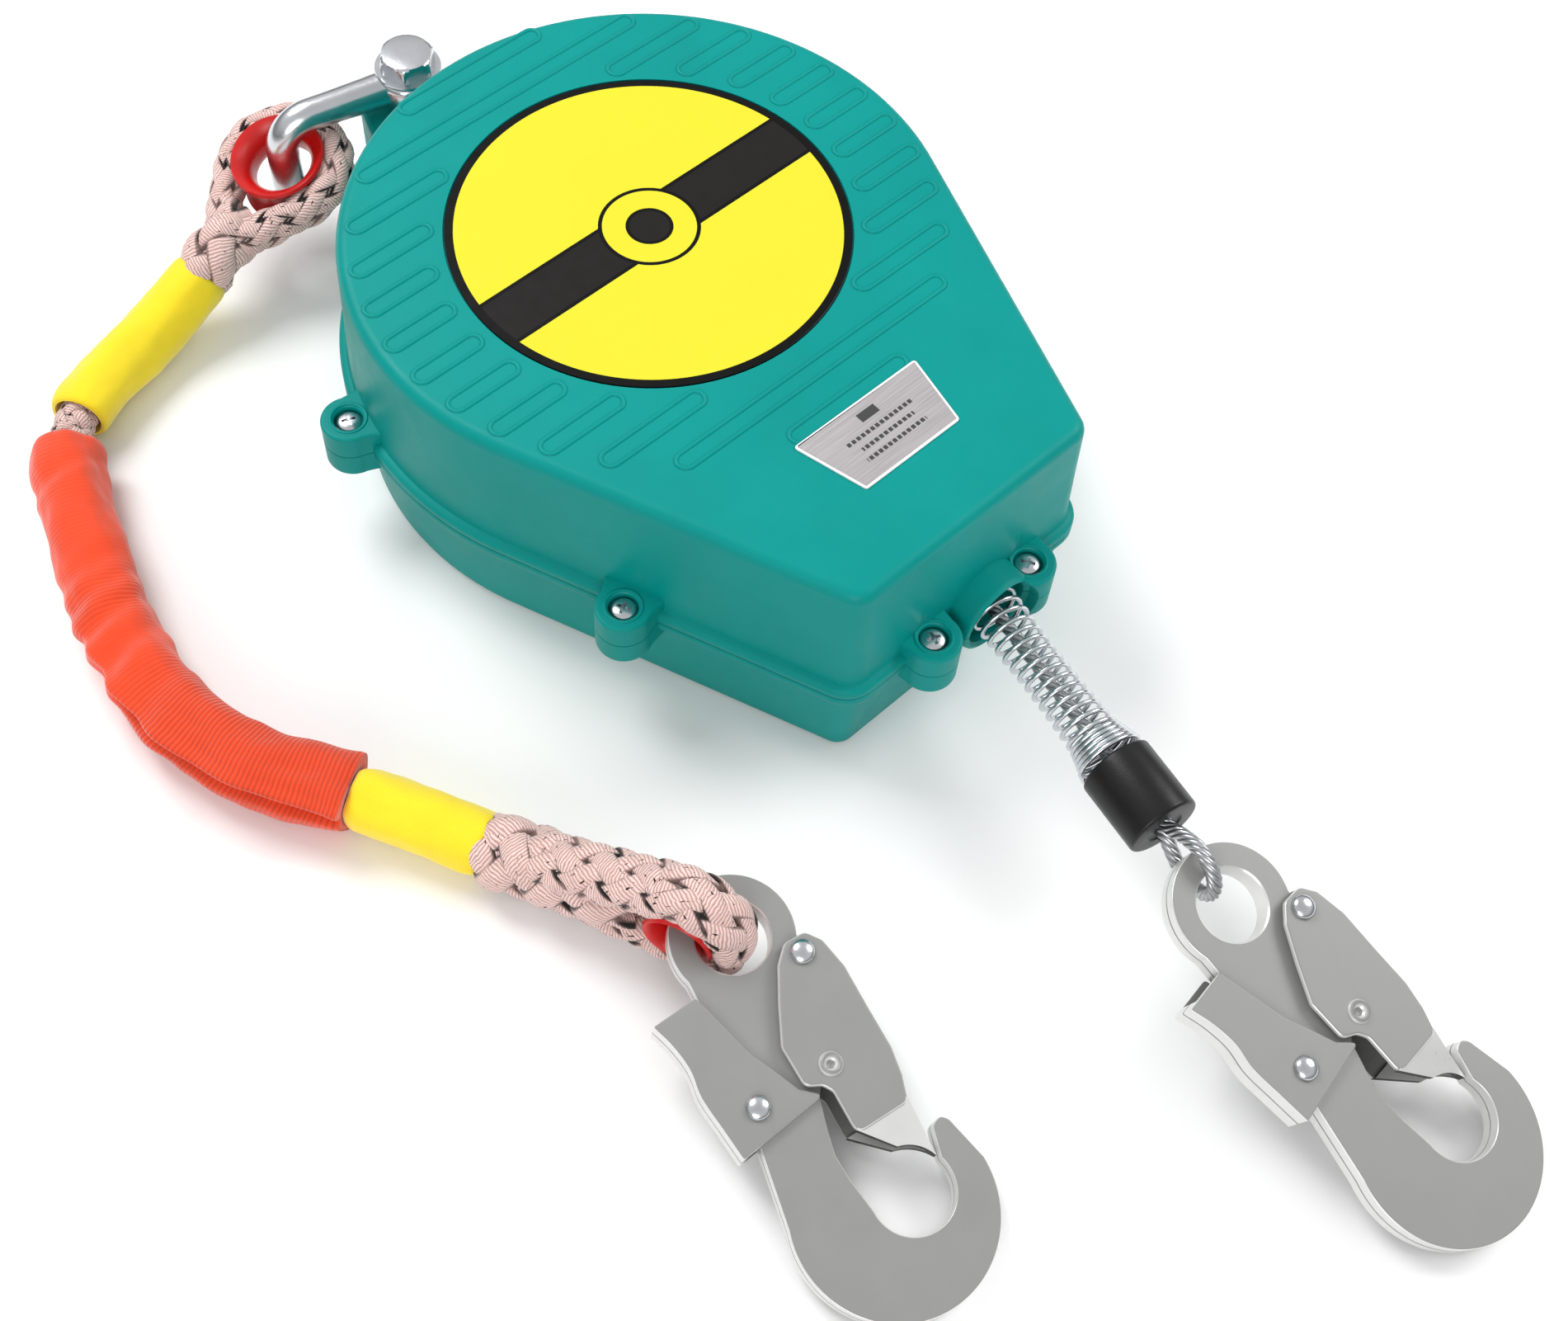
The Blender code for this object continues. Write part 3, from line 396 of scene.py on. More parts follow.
def loft(loops, closed=False, round_uv=None):
    """Quads between each loop and the next, with UV in metres along and round. Open ends are capped.

    With round_uv, the way round is that many metres wherever the loop is."""
    bm = bmesh.new()
    uv = bm.loops.layers.uv.new("UVMap")
    rings = [[bm.verts.new(Vector(p) * MM) for p in loop] for loop in loops]
    count = len(rings[0])
    lengths = runs([ring[0].co for ring in rings], True)
    widest = max((runs([vert.co for vert in ring], True) for ring in rings), key=lambda run: run[-1])
    if round_uv:
        widest = [round_uv * i / count for i in range(count + 1)]
    for n, (a, b) in enumerate(zip(rings, rings[1:] + (rings[:1] if closed else []))):
        for i in range(count):
            j = (i + 1) % count
            face = bm.faces.new((a[i], a[j], b[j], b[i]))
            spots = ((n, i), (n, i + 1), (n + 1, i + 1), (n + 1, i))
            for corner, (along, turn) in zip(face.loops, spots):
                corner[uv].uv = (lengths[along], widest[turn])
    if not closed:
        ends = [bm.faces.new(rings[0]), bm.faces.new(rings[-1])]
        for face in ends:
            face.normal_update()
        bmesh.ops.triangulate(bm, faces=ends)
    bmesh.ops.recalc_face_normals(bm, faces=bm.faces)
    return bm


def merged(*shapes):
    """Several shapes as one mesh."""
    out = shapes[0]
    for shape in shapes[1:]:
        mesh = bpy.data.meshes.new("part")
        shape.to_mesh(mesh)
        shape.free()
        out.from_mesh(mesh)
        bpy.data.meshes.remove(mesh)
    return out


def turned(profile, sides=48, ring=False, base=0):
    """A profile of (radius, height over the base) pairs turned round z."""
    return loft([[(r * cos(t), r * sin(t), base + z) for t in circle(sides)] for r, z in profile], ring)


def rod(radius, z0, z1, sides):
    return turned(((radius, z0), (radius, z1)), sides)


def rectangle(x, y):
    return [(-x, -y), (x, -y), (x, y), (-x, y)]


def prism(outline, z0, z1):
    return loft([[(x, y, z) for x, y in outline] for z in (z0, z1)])


def inset(outline, by):
    """A closed outline moved inwards by a distance, whichever way round it runs."""
    area = sum(a[0] * b[1] - b[0] * a[1] for a, b in zip(outline, outline[1:] + outline[:1]))
    turn = 1 if area > 0 else -1
    out = []
    for i, p in enumerate(outline):
        here, before, after = Vector(p), Vector(outline[i - 1]), Vector(outline[(i + 1) % len(outline)])
        a, b = (here - before).normalized(), (after - here).normalized()
        normal = Vector((-(a.y + b.y), a.x + b.x))
        if normal.length < 1e-6:
            normal = Vector((-a.y, a.x))
        normal.normalize()
        spread = max(0.5, normal.dot(Vector((-a.y, a.x))))
        out.append(here + normal * (turn * by / spread))
    return out


def filleted(points, radius, least=12):
    """A closed outline with its corners rounded; bends under the least angle stay."""
    out = []
    for i, point in enumerate(points):
        a, p, b = Vector(points[i - 1]), Vector(point), Vector(points[(i + 1) % len(points)])
        one, two = a - p, b - p
        turn = pi - one.angle(two)
        if degrees(turn) < least:
            out.append(p)
            continue
        reach = min(radius * tan(turn / 2), 0.45 * one.length, 0.45 * two.length)
        start, end = p + one.normalized() * reach, p + two.normalized() * reach
        for t in (k / 5 for k in range(6)):
            out.append(start * (1 - t) ** 2 + p * 2 * t * (1 - t) + end * t * t)
    return out


def plate(outline, z0, z1, edge=0.4, steps=3, seam=0):
    """A flat piece with rounded edges, and with a seam round the middle of its edge if asked."""
    bend = [(edge * (1 - sin(t)), edge * (1 - cos(t))) for t in quarter(steps)]
    levels = [(depth, z0 + rise) for depth, rise in bend]
    if seam:
        mid = (z0 + z1) / 2
        levels += [(0, mid - seam), (seam, mid - seam * 0.3), (seam, mid + seam * 0.3), (0, mid + seam)]
    levels += [(depth, z1 - rise) for depth, rise in reversed(bend)]
    return loft([[(x, y, z) for x, y in inset(outline, depth)] for depth, z in levels])


def headings(points):
    """The direction of a line at each of its points."""
    around = points[:1] + points + points[-1:]
    return [(after - before).normalized() for before, after in zip(around, around[2:])]


def frames(path, side=None):
    """Each point of a path with two directions across it, which turn as little as the path allows."""
    path = [Vector(p) for p in path]
    out = []
    for p, along in zip(path, headings(path)):
        if side is None:
            side = Vector((0, 0, 1)) if abs(along.z) < 0.8 else Vector((1, 0, 0))
        side = (side - along * side.dot(along)).normalized()
        out.append((p, side, along.cross(side)))
    return out


def ring_of(centre, a, b, angles):
    return [centre + a * cos(t) + b * sin(t) for t in angles]


def tube(path, radius, sides=12, side=None, flat=1):
    """A round bar along a path. The radius may be a function of the share of its length."""
    line = frames(path, side)
    loops = []
    for i, (p, a, b) in enumerate(line):
        r = radius(i / (len(line) - 1)) if callable(radius) else radius
        loops.append(ring_of(p, a * r, b * r * flat, circle(sides)))
    return loft(loops)


def smooth(points, step):
    """A Catmull-Rom curve through the points, read at even lengths."""
    pts = [Vector(p) for p in points]
    pts = [pts[0] * 2 - pts[1]] + pts + [pts[-1] * 2 - pts[-2]]
    fine = []
    for a, b, c, d in zip(pts, pts[1:], pts[2:], pts[3:]):
        for t in (i / 24 for i in range(24)):
            square, cube = 2 * a - 5 * b + 4 * c - d, 3 * b - a - 3 * c + d
            fine.append(0.5 * (2 * b + (c - a) * t + square * t ** 2 + cube * t ** 3))
    fine.append(pts[-2])
    return stretch(fine, 0, runs(fine)[-1], step)


def point_at(path, length):
    for a, b in zip(path, path[1:]):
        run = (b - a).length
        if length <= run:
            return a.lerp(b, length / run)
        length -= run
    return path[-1].copy()


def stretch(path, start, end, step):
    """The points of a path between two lengths along it."""
    count = max(2, round((end - start) / step))
    return [point_at(path, start + (end - start) * i / count) for i in range(count + 1)]


def strand_set(path, ring, wide, thick, count, pitch, sides, weave=0, ways=(1, -1), side=None, flat=1):
    """Strands wound round a path both ways. Each rises over and dips under those of the other way.

    The ring may be a function of the share of the length. Flat squeezes it across the side given."""
    line = frames(path, side)
    lengths = runs([p for p, _, _ in line])
    shapes = []
    for way, k in product(ways, range(count)):
        centres, outs = [], []
        for (p, a, b), s in zip(line, lengths):
            turn = 2 * pi * s / pitch
            angle = way * turn + 2 * pi * k / count
            spoke = a * cos(angle) + b * sin(angle) * flat
            reach = ring(s / lengths[-1]) if callable(ring) else ring
            centres.append(p + spoke * (reach + way * weave * cos(count * turn)))
            outs.append((a * cos(angle) * flat + b * sin(angle)).normalized())
        loops = []
        for c, out, along in zip(centres, outs, headings(centres)):
            loops.append(ring_of(c, out * thick, along.cross(out).normalized() * wide, circle(sides)))
        shapes.append(loft(loops, round_uv=STRAND_ROUND))
    return merged(*shapes)


# ---- piece helpers

ADD, CUT = "UNION", "DIFFERENCE"


def as_object(name, bm):
    mesh = bpy.data.meshes.new(name)
    bm.to_mesh(mesh)
    bm.free()
    return linked(name, mesh)


def boolean(obj, operation, bm):
    tool = as_object("tool", bm)
    modifier = obj.modifiers.new("Boolean", "BOOLEAN")
    modifier.operation = operation
    modifier.object = tool
    old = obj.data
    obj.data = bpy.data.meshes.new_from_object(obj.evaluated_get(bpy.context.evaluated_depsgraph_get()))
    obj.modifiers.clear()
    bpy.data.meshes.remove(old)
    bpy.data.objects.remove(tool)


def moved(bm, matrix):
    bmesh.ops.transform(bm, matrix=matrix, verts=bm.verts)
    return bm


def shifted(x, y, z=0):
    return Matrix.Translation(Vector((x, y, z)) * MM)


def basis(origin, x, y, z):
    """A matrix from axes, and an origin in metres."""
    return Matrix.Translation(origin) @ Matrix((x, y, z)).transposed().to_4x4()


def dressed(obj, look):
    obj.data.materials.clear()
    obj.data.materials.append(LOOKS[look])


def piece(name, bm, slot, body, node=None, changes=(), look=None, dress=dressed, angle=32, weighted=False,
          matrix=Matrix()):
    """Makes a piece, and says what it rides on and replaces. It has its slot's look if no other is named.

    The changes are (ADD or CUT, shape) pairs, in their order. Dress is what gives it its look."""
    obj = as_object(name, bm)
    for operation, shape in changes:
        boolean(obj, operation, shape)
    dress(obj, look or slot)
    obj.data.transform(matrix)
    if matrix.determinant() < 0:
        obj.data.flip_normals()
    obj.data.shade_smooth()
    obj.data.set_sharp_from_angle(angle=radians(angle))
    if weighted:
        obj.modifiers.new("Weighted", "WEIGHTED_NORMAL").keep_sharp = True
    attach(obj, body)
    if node:
        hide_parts(node)
    return obj


# ---- case

def joint(name, what="pos_m"):
    return Vector(JOINTS[name][what])


def top_of(name):
    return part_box(name)[1].z / MM


def centre_of(name):
    """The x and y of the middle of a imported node's box."""
    low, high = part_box(name)
    return (low.x + high.x) / 2 / MM, (low.y + high.y) / 2 / MM


CASE_R = 98.0
CORNER_R, CORNER_X, CORNER_Y = 9, 42, -136
CASE_TOP = top_of("front_shell")
PART_Z = joint("drum_spin").z / MM
OVER = 0.4                    # how far each half is built past the joint before it is cut
WALL = 3.5
LUG_R = 8.8
SCREW_NAMES = [f"case_screw_{i}" for i in range(1, 7)]
LUG_TOP = top_of(SCREW_NAMES[0]) + 0.5
LUG_BOTTOM = 28
LABEL_R = (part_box("front_label")[1].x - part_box("front_label")[0].x) / 2 / MM
NOZZLE_R, NOZZLE_BORE, NOZZLE_END = 14.5, 11.8, 153.5
NOZZLE_MATRIX = shifted(centre_of("nozzle_bush")[0], 0, PART_Z) @ Matrix.Rotation(radians(90), 4, "X")
SIDE_TURN = degrees(atan2(CORNER_Y, CORNER_X) + acos((CASE_R - CORNER_R) / hypot(CORNER_X, CORNER_Y)))
RIB_PITCH, RIB_WIDE, RIB_OUT, RIB_IN = 14.7, 5.8, 91.9, 67.3
BEAD = ((2.35, 0.45), (2.45, 1.2), (2.45, 2.2), (2.2, 3.1), (1.6, 3.7), (0.8, 3.95), (0.2, 4.2), (-0.1, 4.8))
SCREW_R, RECESS_R = 4.1, LUG_R - 3.6


def case_outline(offset, z):
    points = (arc(0, 0, CASE_R + offset, SIDE_TURN, 180 - SIDE_TURN, 150)
              + arc(-CORNER_X, CORNER_Y, CORNER_R + offset, 180 - SIDE_TURN, 270, 12)
              + arc(CORNER_X, CORNER_Y, CORNER_R + offset, 270, 360 + SIDE_TURN, 12))
    return [(x, y, z) for x, y in points]


def lug_outline(x, y):
    """A round tab with a web that widens to the case's wall."""
    if abs(x) > 90:
        out = Vector((x, y)).normalized()
    elif abs(x) > 50:
        turn = radians(SIDE_TURN)
        out = Vector((copysign(cos(turn), x), sin(turn)))
    else:
        out = Vector((0, -1))
    side = Vector((-out.y, out.x))
    centre = Vector((x, y))
    web = [(-5, LUG_R + 0.6), (-11, LUG_R + 2.6), (-11, -LUG_R - 2.6), (-5, -LUG_R - 0.6)]
    return [centre + out * u + side * v for u, v in arc(0, 0, LUG_R, -96, 96, 28) + web]


def lugs(z0, z1):
    return merged(*[plate(lug_outline(*centre_of(name)), z0, z1, 0.9) for name in SCREW_NAMES])


def at_lugs(profile, ring=False):
    """A turned shape at the top of each lug."""
    places = [shifted(*centre_of(name), LUG_TOP) for name in SCREW_NAMES]
    return merged(*[moved(turned(profile, 40, ring), place) for place in places])


def at_nozzle(profile, sides):
    """A turned shape on the nozzle's axis, with its heights from the nozzle's end."""
    return moved(turned(profile, sides, base=NOZZLE_END), NOZZLE_MATRIX)


def round_edge(offset, z, radius, steps, way):
    """A rounded outer edge, from the side wall up or down to the flat face."""
    start = z - way * radius
    return [(offset - radius * (1 - cos(t)), start + way * radius * sin(t)) for t in quarter(steps)]


def joint_edge(way):
    """A half's edge at the joint: its wall goes past it, and its bead lies beside it."""
    past = PART_Z - way * OVER
    return [(-WALL, past), (1.9, past)] + [(offset, PART_Z + way * GAP + way * rise) for offset, rise in BEAD]


def build_shell(name, node, profile, lug_span, recesses, beyond):
    """One half of the case. What it has past the joint is cut off last."""
    slot = prism([(-32, 84), (32, 84), (31.6, 110), (-31.6, 110)], 26.7, 47.3)
    past_joint = prism(rectangle(200, 200), *beyond)
    r, bore, lip = NOZZLE_R, NOZZLE_BORE, NOZZLE_BORE + 1.4
    boss = at_nozzle(((r, -16), (r, -1.6), (r - 0.5, -0.45), (r - 1.5, 0)), 64)
    mouth = at_nozzle(((bore, -28.5), (bore, -1), (lip, 0.4), (lip, 8)), 56)
    changes = [(ADD, lugs(*lug_span)), (ADD, boss)]
    changes += [(CUT, shape) for shape in (mouth, *recesses, slot, past_joint)]
    shell = loft([case_outline(offset, z) for offset, z in profile])
    piece(name, shell, "teal_plastic", "case", node, changes, weighted=True)


def build_front():
    profile = ([(-WALL - 4, CASE_TOP - WALL), (-WALL - 2.2, CASE_TOP - 6.5)] + joint_edge(1)
               + [(-0.3, PART_Z + 7), (-1.1, PART_Z + 26)] + round_edge(-1.75, CASE_TOP, 3.8, 9, 1))
    sink = SCREW_R + 0.6
    recesses = (at_lugs(((sink, -3.2), (sink, -0.5), (RECESS_R, 0), (RECESS_R, 9))),
                rod(LABEL_R + 0.5, CASE_TOP - 0.9, CASE_TOP + 5, 120))
    build_shell("case_front", "front_shell", profile, (PART_Z - OVER, LUG_TOP), recesses, (-5, PART_Z + GAP))


def build_rear():
    profile = ([(-WALL - 6, WALL), (-WALL - 3, 7)] + joint_edge(-1)
               + [(-0.4, PART_Z - 7.5), (-1.3, PART_Z - 18)] + round_edge(-2.6, 0, 3.6, 8, -1))
    build_shell("case_rear", "rear_shell", profile, (LUG_BOTTOM, PART_Z + OVER), (), (PART_Z - GAP, 120))


def rib(x0, x1, y):
    """A low rounded line along the outline of a long slot."""
    r = RIB_WIDE / 2
    outline = arc(x1 - r, y, r, -90, 90, 10) + arc(x0 + r, y, r, 90, 270, 10)
    profile = ((0.8, -0.15), (0.62, 0.28), (0.28, 0.52), (-0.28, 0.52), (-0.62, 0.28), (-0.8, -0.15))
    return loft([[(x, y, CASE_TOP + z) for x, y in inset(outline, off)] for off, z in profile], closed=True)


def ribs():
    """Raised outlines in rows across the front, clear of the label."""
    shapes = []
    for y in (-0.7 + RIB_PITCH * row for row in range(-6, 7)):
        end = sqrt(RIB_OUT ** 2 - y ** 2)
        spans = ((-end, end),)
        if abs(y) < RIB_IN - 2:
            start = sqrt(RIB_IN ** 2 - y ** 2)
            spans = ((-end, -start), (start, end))
        shapes += [rib(x0, x1, y) for x0, x1 in spans if x1 - x0 >= 1.25 * RIB_WIDE]
    return merged(*shapes)


def build_label():
    outline = ((LABEL_R, -0.6), (LABEL_R, -0.05), (LABEL_R - 0.15, 0.05), (0.5, 0.05))
    label = turned(outline, 120, base=CASE_TOP)
    piece("round_label", label, "label_film", "case", "front_label", look="label_print")


def build_nameplate():
    low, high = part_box("nameplate")
    x0, y0, x1, y1 = low.x / MM, low.y / MM, high.x / MM, high.y / MM
    taper, z0 = 5.8, CASE_TOP - 0.1
    outline = filleted([(x0 + taper, y0), (x1 - taper, y0), (x1, y1), (x0, y1)], 1.2)
    edge = plate(outline, z0, low.z / MM + 0.28, 0.2)
    piece("nameplate_edge", edge, "nameplate", "case", look="pale_edge")
    face = plate(inset(outline, 0.8), z0, high.z / MM, 0.15)
    piece("nameplate_face", face, "nameplate", "case", "nameplate", look="nameplate_print")


def build_screw(i, name):
    """A pan head with a cross recess, sunk in its lug."""
    top = top_of(name)
    base = top - 2.6
    dome = [(SCREW_R * cos(t) ** 0.8, base + 1 + 1.6 * sin(t)) for t in quarter(8)[:-1]]
    head = turned([(2, LUG_BOTTOM + 1), (2, base), (SCREW_R, base)] + dome, 36)
    cuts = []
    for turn in (radians(20 + 47 * i), radians(20 + 47 * i) + pi / 2):
        ends = ((0.45, top - 1.9), (1, top + 1))
        cutter = loft([[(x, y, z) for x, y in rectangle(2.9 * s, 0.52)] for s, z in ends])
        cuts.append((CUT, moved(cutter, Matrix.Rotation(turn, 4, "Z"))))
    piece(f"screw_head_{i}", head, "zinc", "case", name, cuts, matrix=shifted(*centre_of(name)))


def build_case():
    build_front()
    build_rear()
    piece("front_ribs", ribs(), "teal_plastic", "case", angle=60)
    rings = at_lugs(((RECESS_R + 0.05, -0.3), (LUG_R - 2.6, -0.3), (LUG_R - 2.7, 0.25), (LUG_R - 3.1, 0.42),
                     (LUG_R - 3.5, 0.25)), True)
    piece("lug_rings", rings, "teal_plastic", "case", angle=60)
    build_label()
    build_nameplate()
    for i, name in enumerate(SCREW_NAMES, 1):
        build_screw(i, name)


# ---- hanger and shackle

SHACKLE_AT = joint("shackle_swing")
CROWN_AT = joint("lanyard_swing")
UP = Vector((0, 0, 1))
BOW_ALONG = (CROWN_AT - SHACKLE_AT).normalized()
BOW_MATRIX = basis(SHACKLE_AT, BOW_ALONG, UP.cross(BOW_ALONG), UP)
BOW_REACH = (CROWN_AT - SHACKLE_AT).length / MM
BOW_BAR_R, BOW_GAP, BOW_CORNER = 5.5, 26, 12
EAR_R, EAR_DEPTH = 11.5, 11
EARS_TOP = BOW_GAP / 2 + EAR_DEPTH + 0.3
BOLT_R, HEX_R = 5, 9.8


def build_hanger():
    bolt_y = SHACKLE_AT.y / MM
    tab = [(31, 92), (28, 99)] + arc(0, bolt_y, 18, 20, 160, 40) + [(-28, 99), (-31, 92), (-22, 80), (22, 80)]
    cuts = [(CUT, moved(rod(BOLT_R + 0.6, 0, 80, 40), shifted(0, bolt_y)))]
    body = plate(filleted(tab, 6), 27, 47, 1.8, 5, seam=0.5)
    piece("hanger_tab", body, "teal_plastic", "case", "hanger_block", cuts, weighted=True)


def hexagons(base, levels):
    """A hexagonal bar. Its levels are the radius that its corners are turned off at, and a height."""
    flat = HEX_R * cos(radians(30))
    loops = []
    for turned_off, z in levels:
        spokes = [(t, min(flat / cos((t % (pi / 3)) - pi / 6), turned_off)) for t in circle(72)]
        loops.append([(r * cos(t), r * sin(t), base + z) for t, r in spokes])
    return loft(loops)


def on_shackle(name, bm, node, changes=(), angle=32):
    piece(name, bm, "zinc", "shackle", node, changes, angle=angle, matrix=BOW_MATRIX)


def build_bow():
    half, d = BOW_GAP / 2 + EAR_DEPTH / 2, EAR_DEPTH / 2
    corner = arc(BOW_REACH - BOW_CORNER, half - BOW_CORNER, BOW_CORNER, 90, 0, 15)
    upper = [(x, 0, half) for x in (5, 8, 11, 14, 18, 24, 30)] + [(x, 0, z) for x, z in corner]
    path = upper + [(BOW_REACH, 0, z) for z in (4, 0, -4)] + [(x, y, -z) for x, y, z in upper[::-1]]
    bow = tube(path, lambda t: BOW_BAR_R + 0.9 * max(0, 1 - min(t, 1 - t) / 0.13), 32)
    side = [(EAR_R - 2.6, d), (EAR_R - 0.9, d - 0.7), (EAR_R, d - 2.4)]
    ear = [(r, -z) for r, z in side] + side[::-1]
    changes = [(ADD, turned(ear, base=z)) for z in (half, -half)]
    changes.append((CUT, rod(BOLT_R + 0.5, -40, 40, 40)))
    on_shackle("shackle_body", bow, "shackle_bow", changes, 40)


def build_bolt():
    """A bolt with a hexagonal head, a washer and a threaded end."""
    head = hexagons(EARS_TOP, ((9.2, 0), (9.8, 0.6), (9.8, 5.2), (9.1, 6.2), (8.4, 6.8), (7.6, 7), (3, 7.15)))
    washer = ((BOLT_R + 0.2, -0.25), (11.2, -0.25), (11.4, 0.4), (11.2, 0.9), (BOLT_R + 0.2, 0.9))
    shank = [(BOLT_R, EARS_TOP + 1), (BOLT_R, -EARS_TOP + 2)]
    for k in range(10):
        shank += [(BOLT_R, -EARS_TOP - k), (BOLT_R - 0.45, -EARS_TOP - k - 0.5)]
    shank += [(BOLT_R - 0.8, -EARS_TOP - 10.5)]
    bolt = merged(head, turned(shank, 36), turned(washer, ring=True, base=EARS_TOP))
    on_shackle("hex_bolt", bolt, "shackle_bolt")


def build_nut():
    nut = hexagons(-EARS_TOP, ((8.6, -6.5), (9.4, -5.9), (9.8, -5.2), (9.8, -0.9), (9.2, 0)))
    on_shackle("hex_nut", nut, "shackle_nut", [(CUT, rod(BOLT_R + 0.3, -60, 60, 36))])


def build_split_pin():
    leg = [(-6, 0.62), (0, 0.62), (5.4, 0.62), (6.6, 1.6), (8.4, 1.7)]
    back = [(y, -z) for y, z in leg]
    line = [(-9, -2.6), (-7.6, -1.3)] + back + [(9.4, 0)] + leg[::-1] + [(-7.4, 1.4), (-8.2, 2.8)]
    pin = tube(smooth([(0, y, -EARS_TOP - 8.6 + z) for y, z in line], 0.8), 0.6, 10)
    on_shackle("split_pin", pin, "shackle_split_pin")


# ---- line

LINE_ALONG = joint("line_payout", "axis")
LINE_RING = 36
LINE_AT = Vector((-LINE_ALONG.y * LINE_RING, LINE_ALONG.x * LINE_RING, PART_Z)) * MM
LINE_MATRIX = basis(LINE_AT, LINE_ALONG.cross(UP), UP, LINE_ALONG)
WIRE_R = 2.4
BUFFER_START, BUFFER_END, BUFFER_COILS = 143.5, 208.7, 20
LOOSE_COILS, LOOSE_LENGTH = 0.72, 0.855    # the shares of the spring's coils and length that lie apart
STOPPER_START, STOPPER_END, STOPPER_R = 209.2, 233.4, 11.6
LOOP_END, LOOP_R = 256.5, 9.2


def on_line(name, bm, slot, node, **how):
    piece(name, bm, slot, "line", node, matrix=LINE_MATRIX, **how)


def wire_rope(name, path, node):
    """Six strands laid round a core."""
    strands = strand_set(path, WIRE_R * 0.64, 0.86, 0.8, 6, 17, 9, ways=(1,))
    wire = merged(tube(path, WIRE_R * 0.45, 8), strands)
    on_line(name, wire, "zinc", node, look="wire_zinc", angle=50)


def build_wire():
    wire_rope("wire_rope", [(0, 0, 19.8 + 1.4 * i) for i in range(142)], "line_wire")


def build_loop():
    bow = [(0, y, z) for z, y in arc(LOOP_END - LOOP_R, 0, LOOP_R, -100, 100, 10)]
    leg = [(0, 2.75, STOPPER_END - 3), (0, 2.9, STOPPER_END + 1.5), (0, 6.6, STOPPER_END + 7)]
    wire_rope("wire_loop", smooth([(x, -y, z) for x, y, z in leg] + bow + leg[::-1], 1.2), "line_loop")


def build_buffer():
    """A waisted spring whose coils lie closer towards the stopper."""
    points = []
    count = BUFFER_COILS * 26
    for t in (i / count for i in range(count + 1)):
        along = t * LOOSE_LENGTH / LOOSE_COILS
        if t >= LOOSE_COILS:
            along = LOOSE_LENGTH + (t - LOOSE_COILS) * (1 - LOOSE_LENGTH) / (1 - LOOSE_COILS)
        radius = 8.4 - 1.6 * sin(pi * min(1, t / 0.94)) ** 0.7 + 1.9 * t ** 3
        turn = 2 * pi * BUFFER_COILS * t
        z = BUFFER_START + 0.9 + (BUFFER_END - BUFFER_START - 1.8) * along
        points.append((radius * cos(turn), radius * sin(turn), z))
    on_line("buffer_coil", tube(points, 0.78, 10), "zinc", "buffer_spring", angle=60)


def build_stopper():
    edge, mouth = 1.1, 2.4
    bend = [(STOPPER_R - edge * (1 - sin(t)), edge * (1 - cos(t))) for t in quarter(5)]
    profile = [(2.9, STOPPER_START + 0.4), (3.3, STOPPER_START)] + [(r, STOPPER_START + z) for r, z in bend]
    far = bend[::-1] + [(6.3, 0), (5.7, 0.5), (mouth, 0.7)]
    profile += [(r, STOPPER_END - z) for r, z in far] + [(mouth, STOPPER_START + 1)]
    on_line("rubber_stopper", turned(profile, 72, ring=True), "black_rubber", "stopper")


def build_bush():
    fit = NOZZLE_BORE - 0.4
    profile = ((6.2, 139.2), (fit, 139.2), (fit, 145.4), (fit - 0.5, 146), (7.4, 146), (6.5, 145.4),
               (6.2, 144.4))
    bush = turned(profile, 56, ring=True)
    piece("mouth_bush", bush, "black_nylon", "case", "nozzle_bush", matrix=NOZZLE_MATRIX)


# ---- snap hooks

HOOK_EYE_R, HOOK_EYE_OUT = 10.9, 18.4
HOOK_PLATE = 4
BEND_U, BEND_V, BEND_R = 87.2, -3.3, 29.6
THROAT_U, THROAT_V, THROAT_R = 85.4, 4, 12.3
GATE_PIVOT, GATE_DIMPLE = (14.5, 13.6), (45, 3)
LEVER_PIVOT = (44.5, -20.4)
LEVER_IN, LEVER_OUT = 4.4, 5.9
GATE_IN, GATE_OUT = 6.3, 7.8
TONGUE_FROM = 63.5
RIVET_R = 2.2


def paint_edge_highlights_and_throat_shade(obj, tongue_from):
    """Paints highlights with a pale steel on the cut edges of a hook's plates and on its gate's sloping end, and
    paints shade with a near black steel in the gate's throat.
    """
    for name in ("hook_steel", "hook_painted_highlight", "hook_shade"):
        obj.data.materials.append(LOOKS[name])
    for face in obj.data.polygons:
        flatness = abs(face.normal.z)
        on_tongue = face.center.x > tongue_from * MM and flatness < 0.96
        in_throat = on_tongue and flatness < 0.5 and face.normal.y < 0.1
        # painted highlight on the side faces and the tongue, painted shade in the throat
        face.material_index = 2 if in_throat else 1 if flatness < 0.75 or on_tongue else 0


def hook_matrix(prefix):
    """The hook's axes from its two joints: u to the bend, v to the gate, w through the plate."""
    gate = joint(f"{prefix}_gate_open")
    w = joint(f"{prefix}_gate_open", "axis").normalized()
    run = joint(f"{prefix}_lever_press") - gate
    run = (run - w * run.dot(w)).normalized()
    span = Vector(LEVER_PIVOT) - Vector(GATE_PIVOT)
    u = Matrix.Rotation(-atan2(span.y, span.x), 3, w) @ run
    v = w.cross(u)
    return basis(gate - (u * GATE_PIVOT[0] + v * GATE_PIVOT[1]) * MM, u, v, w)


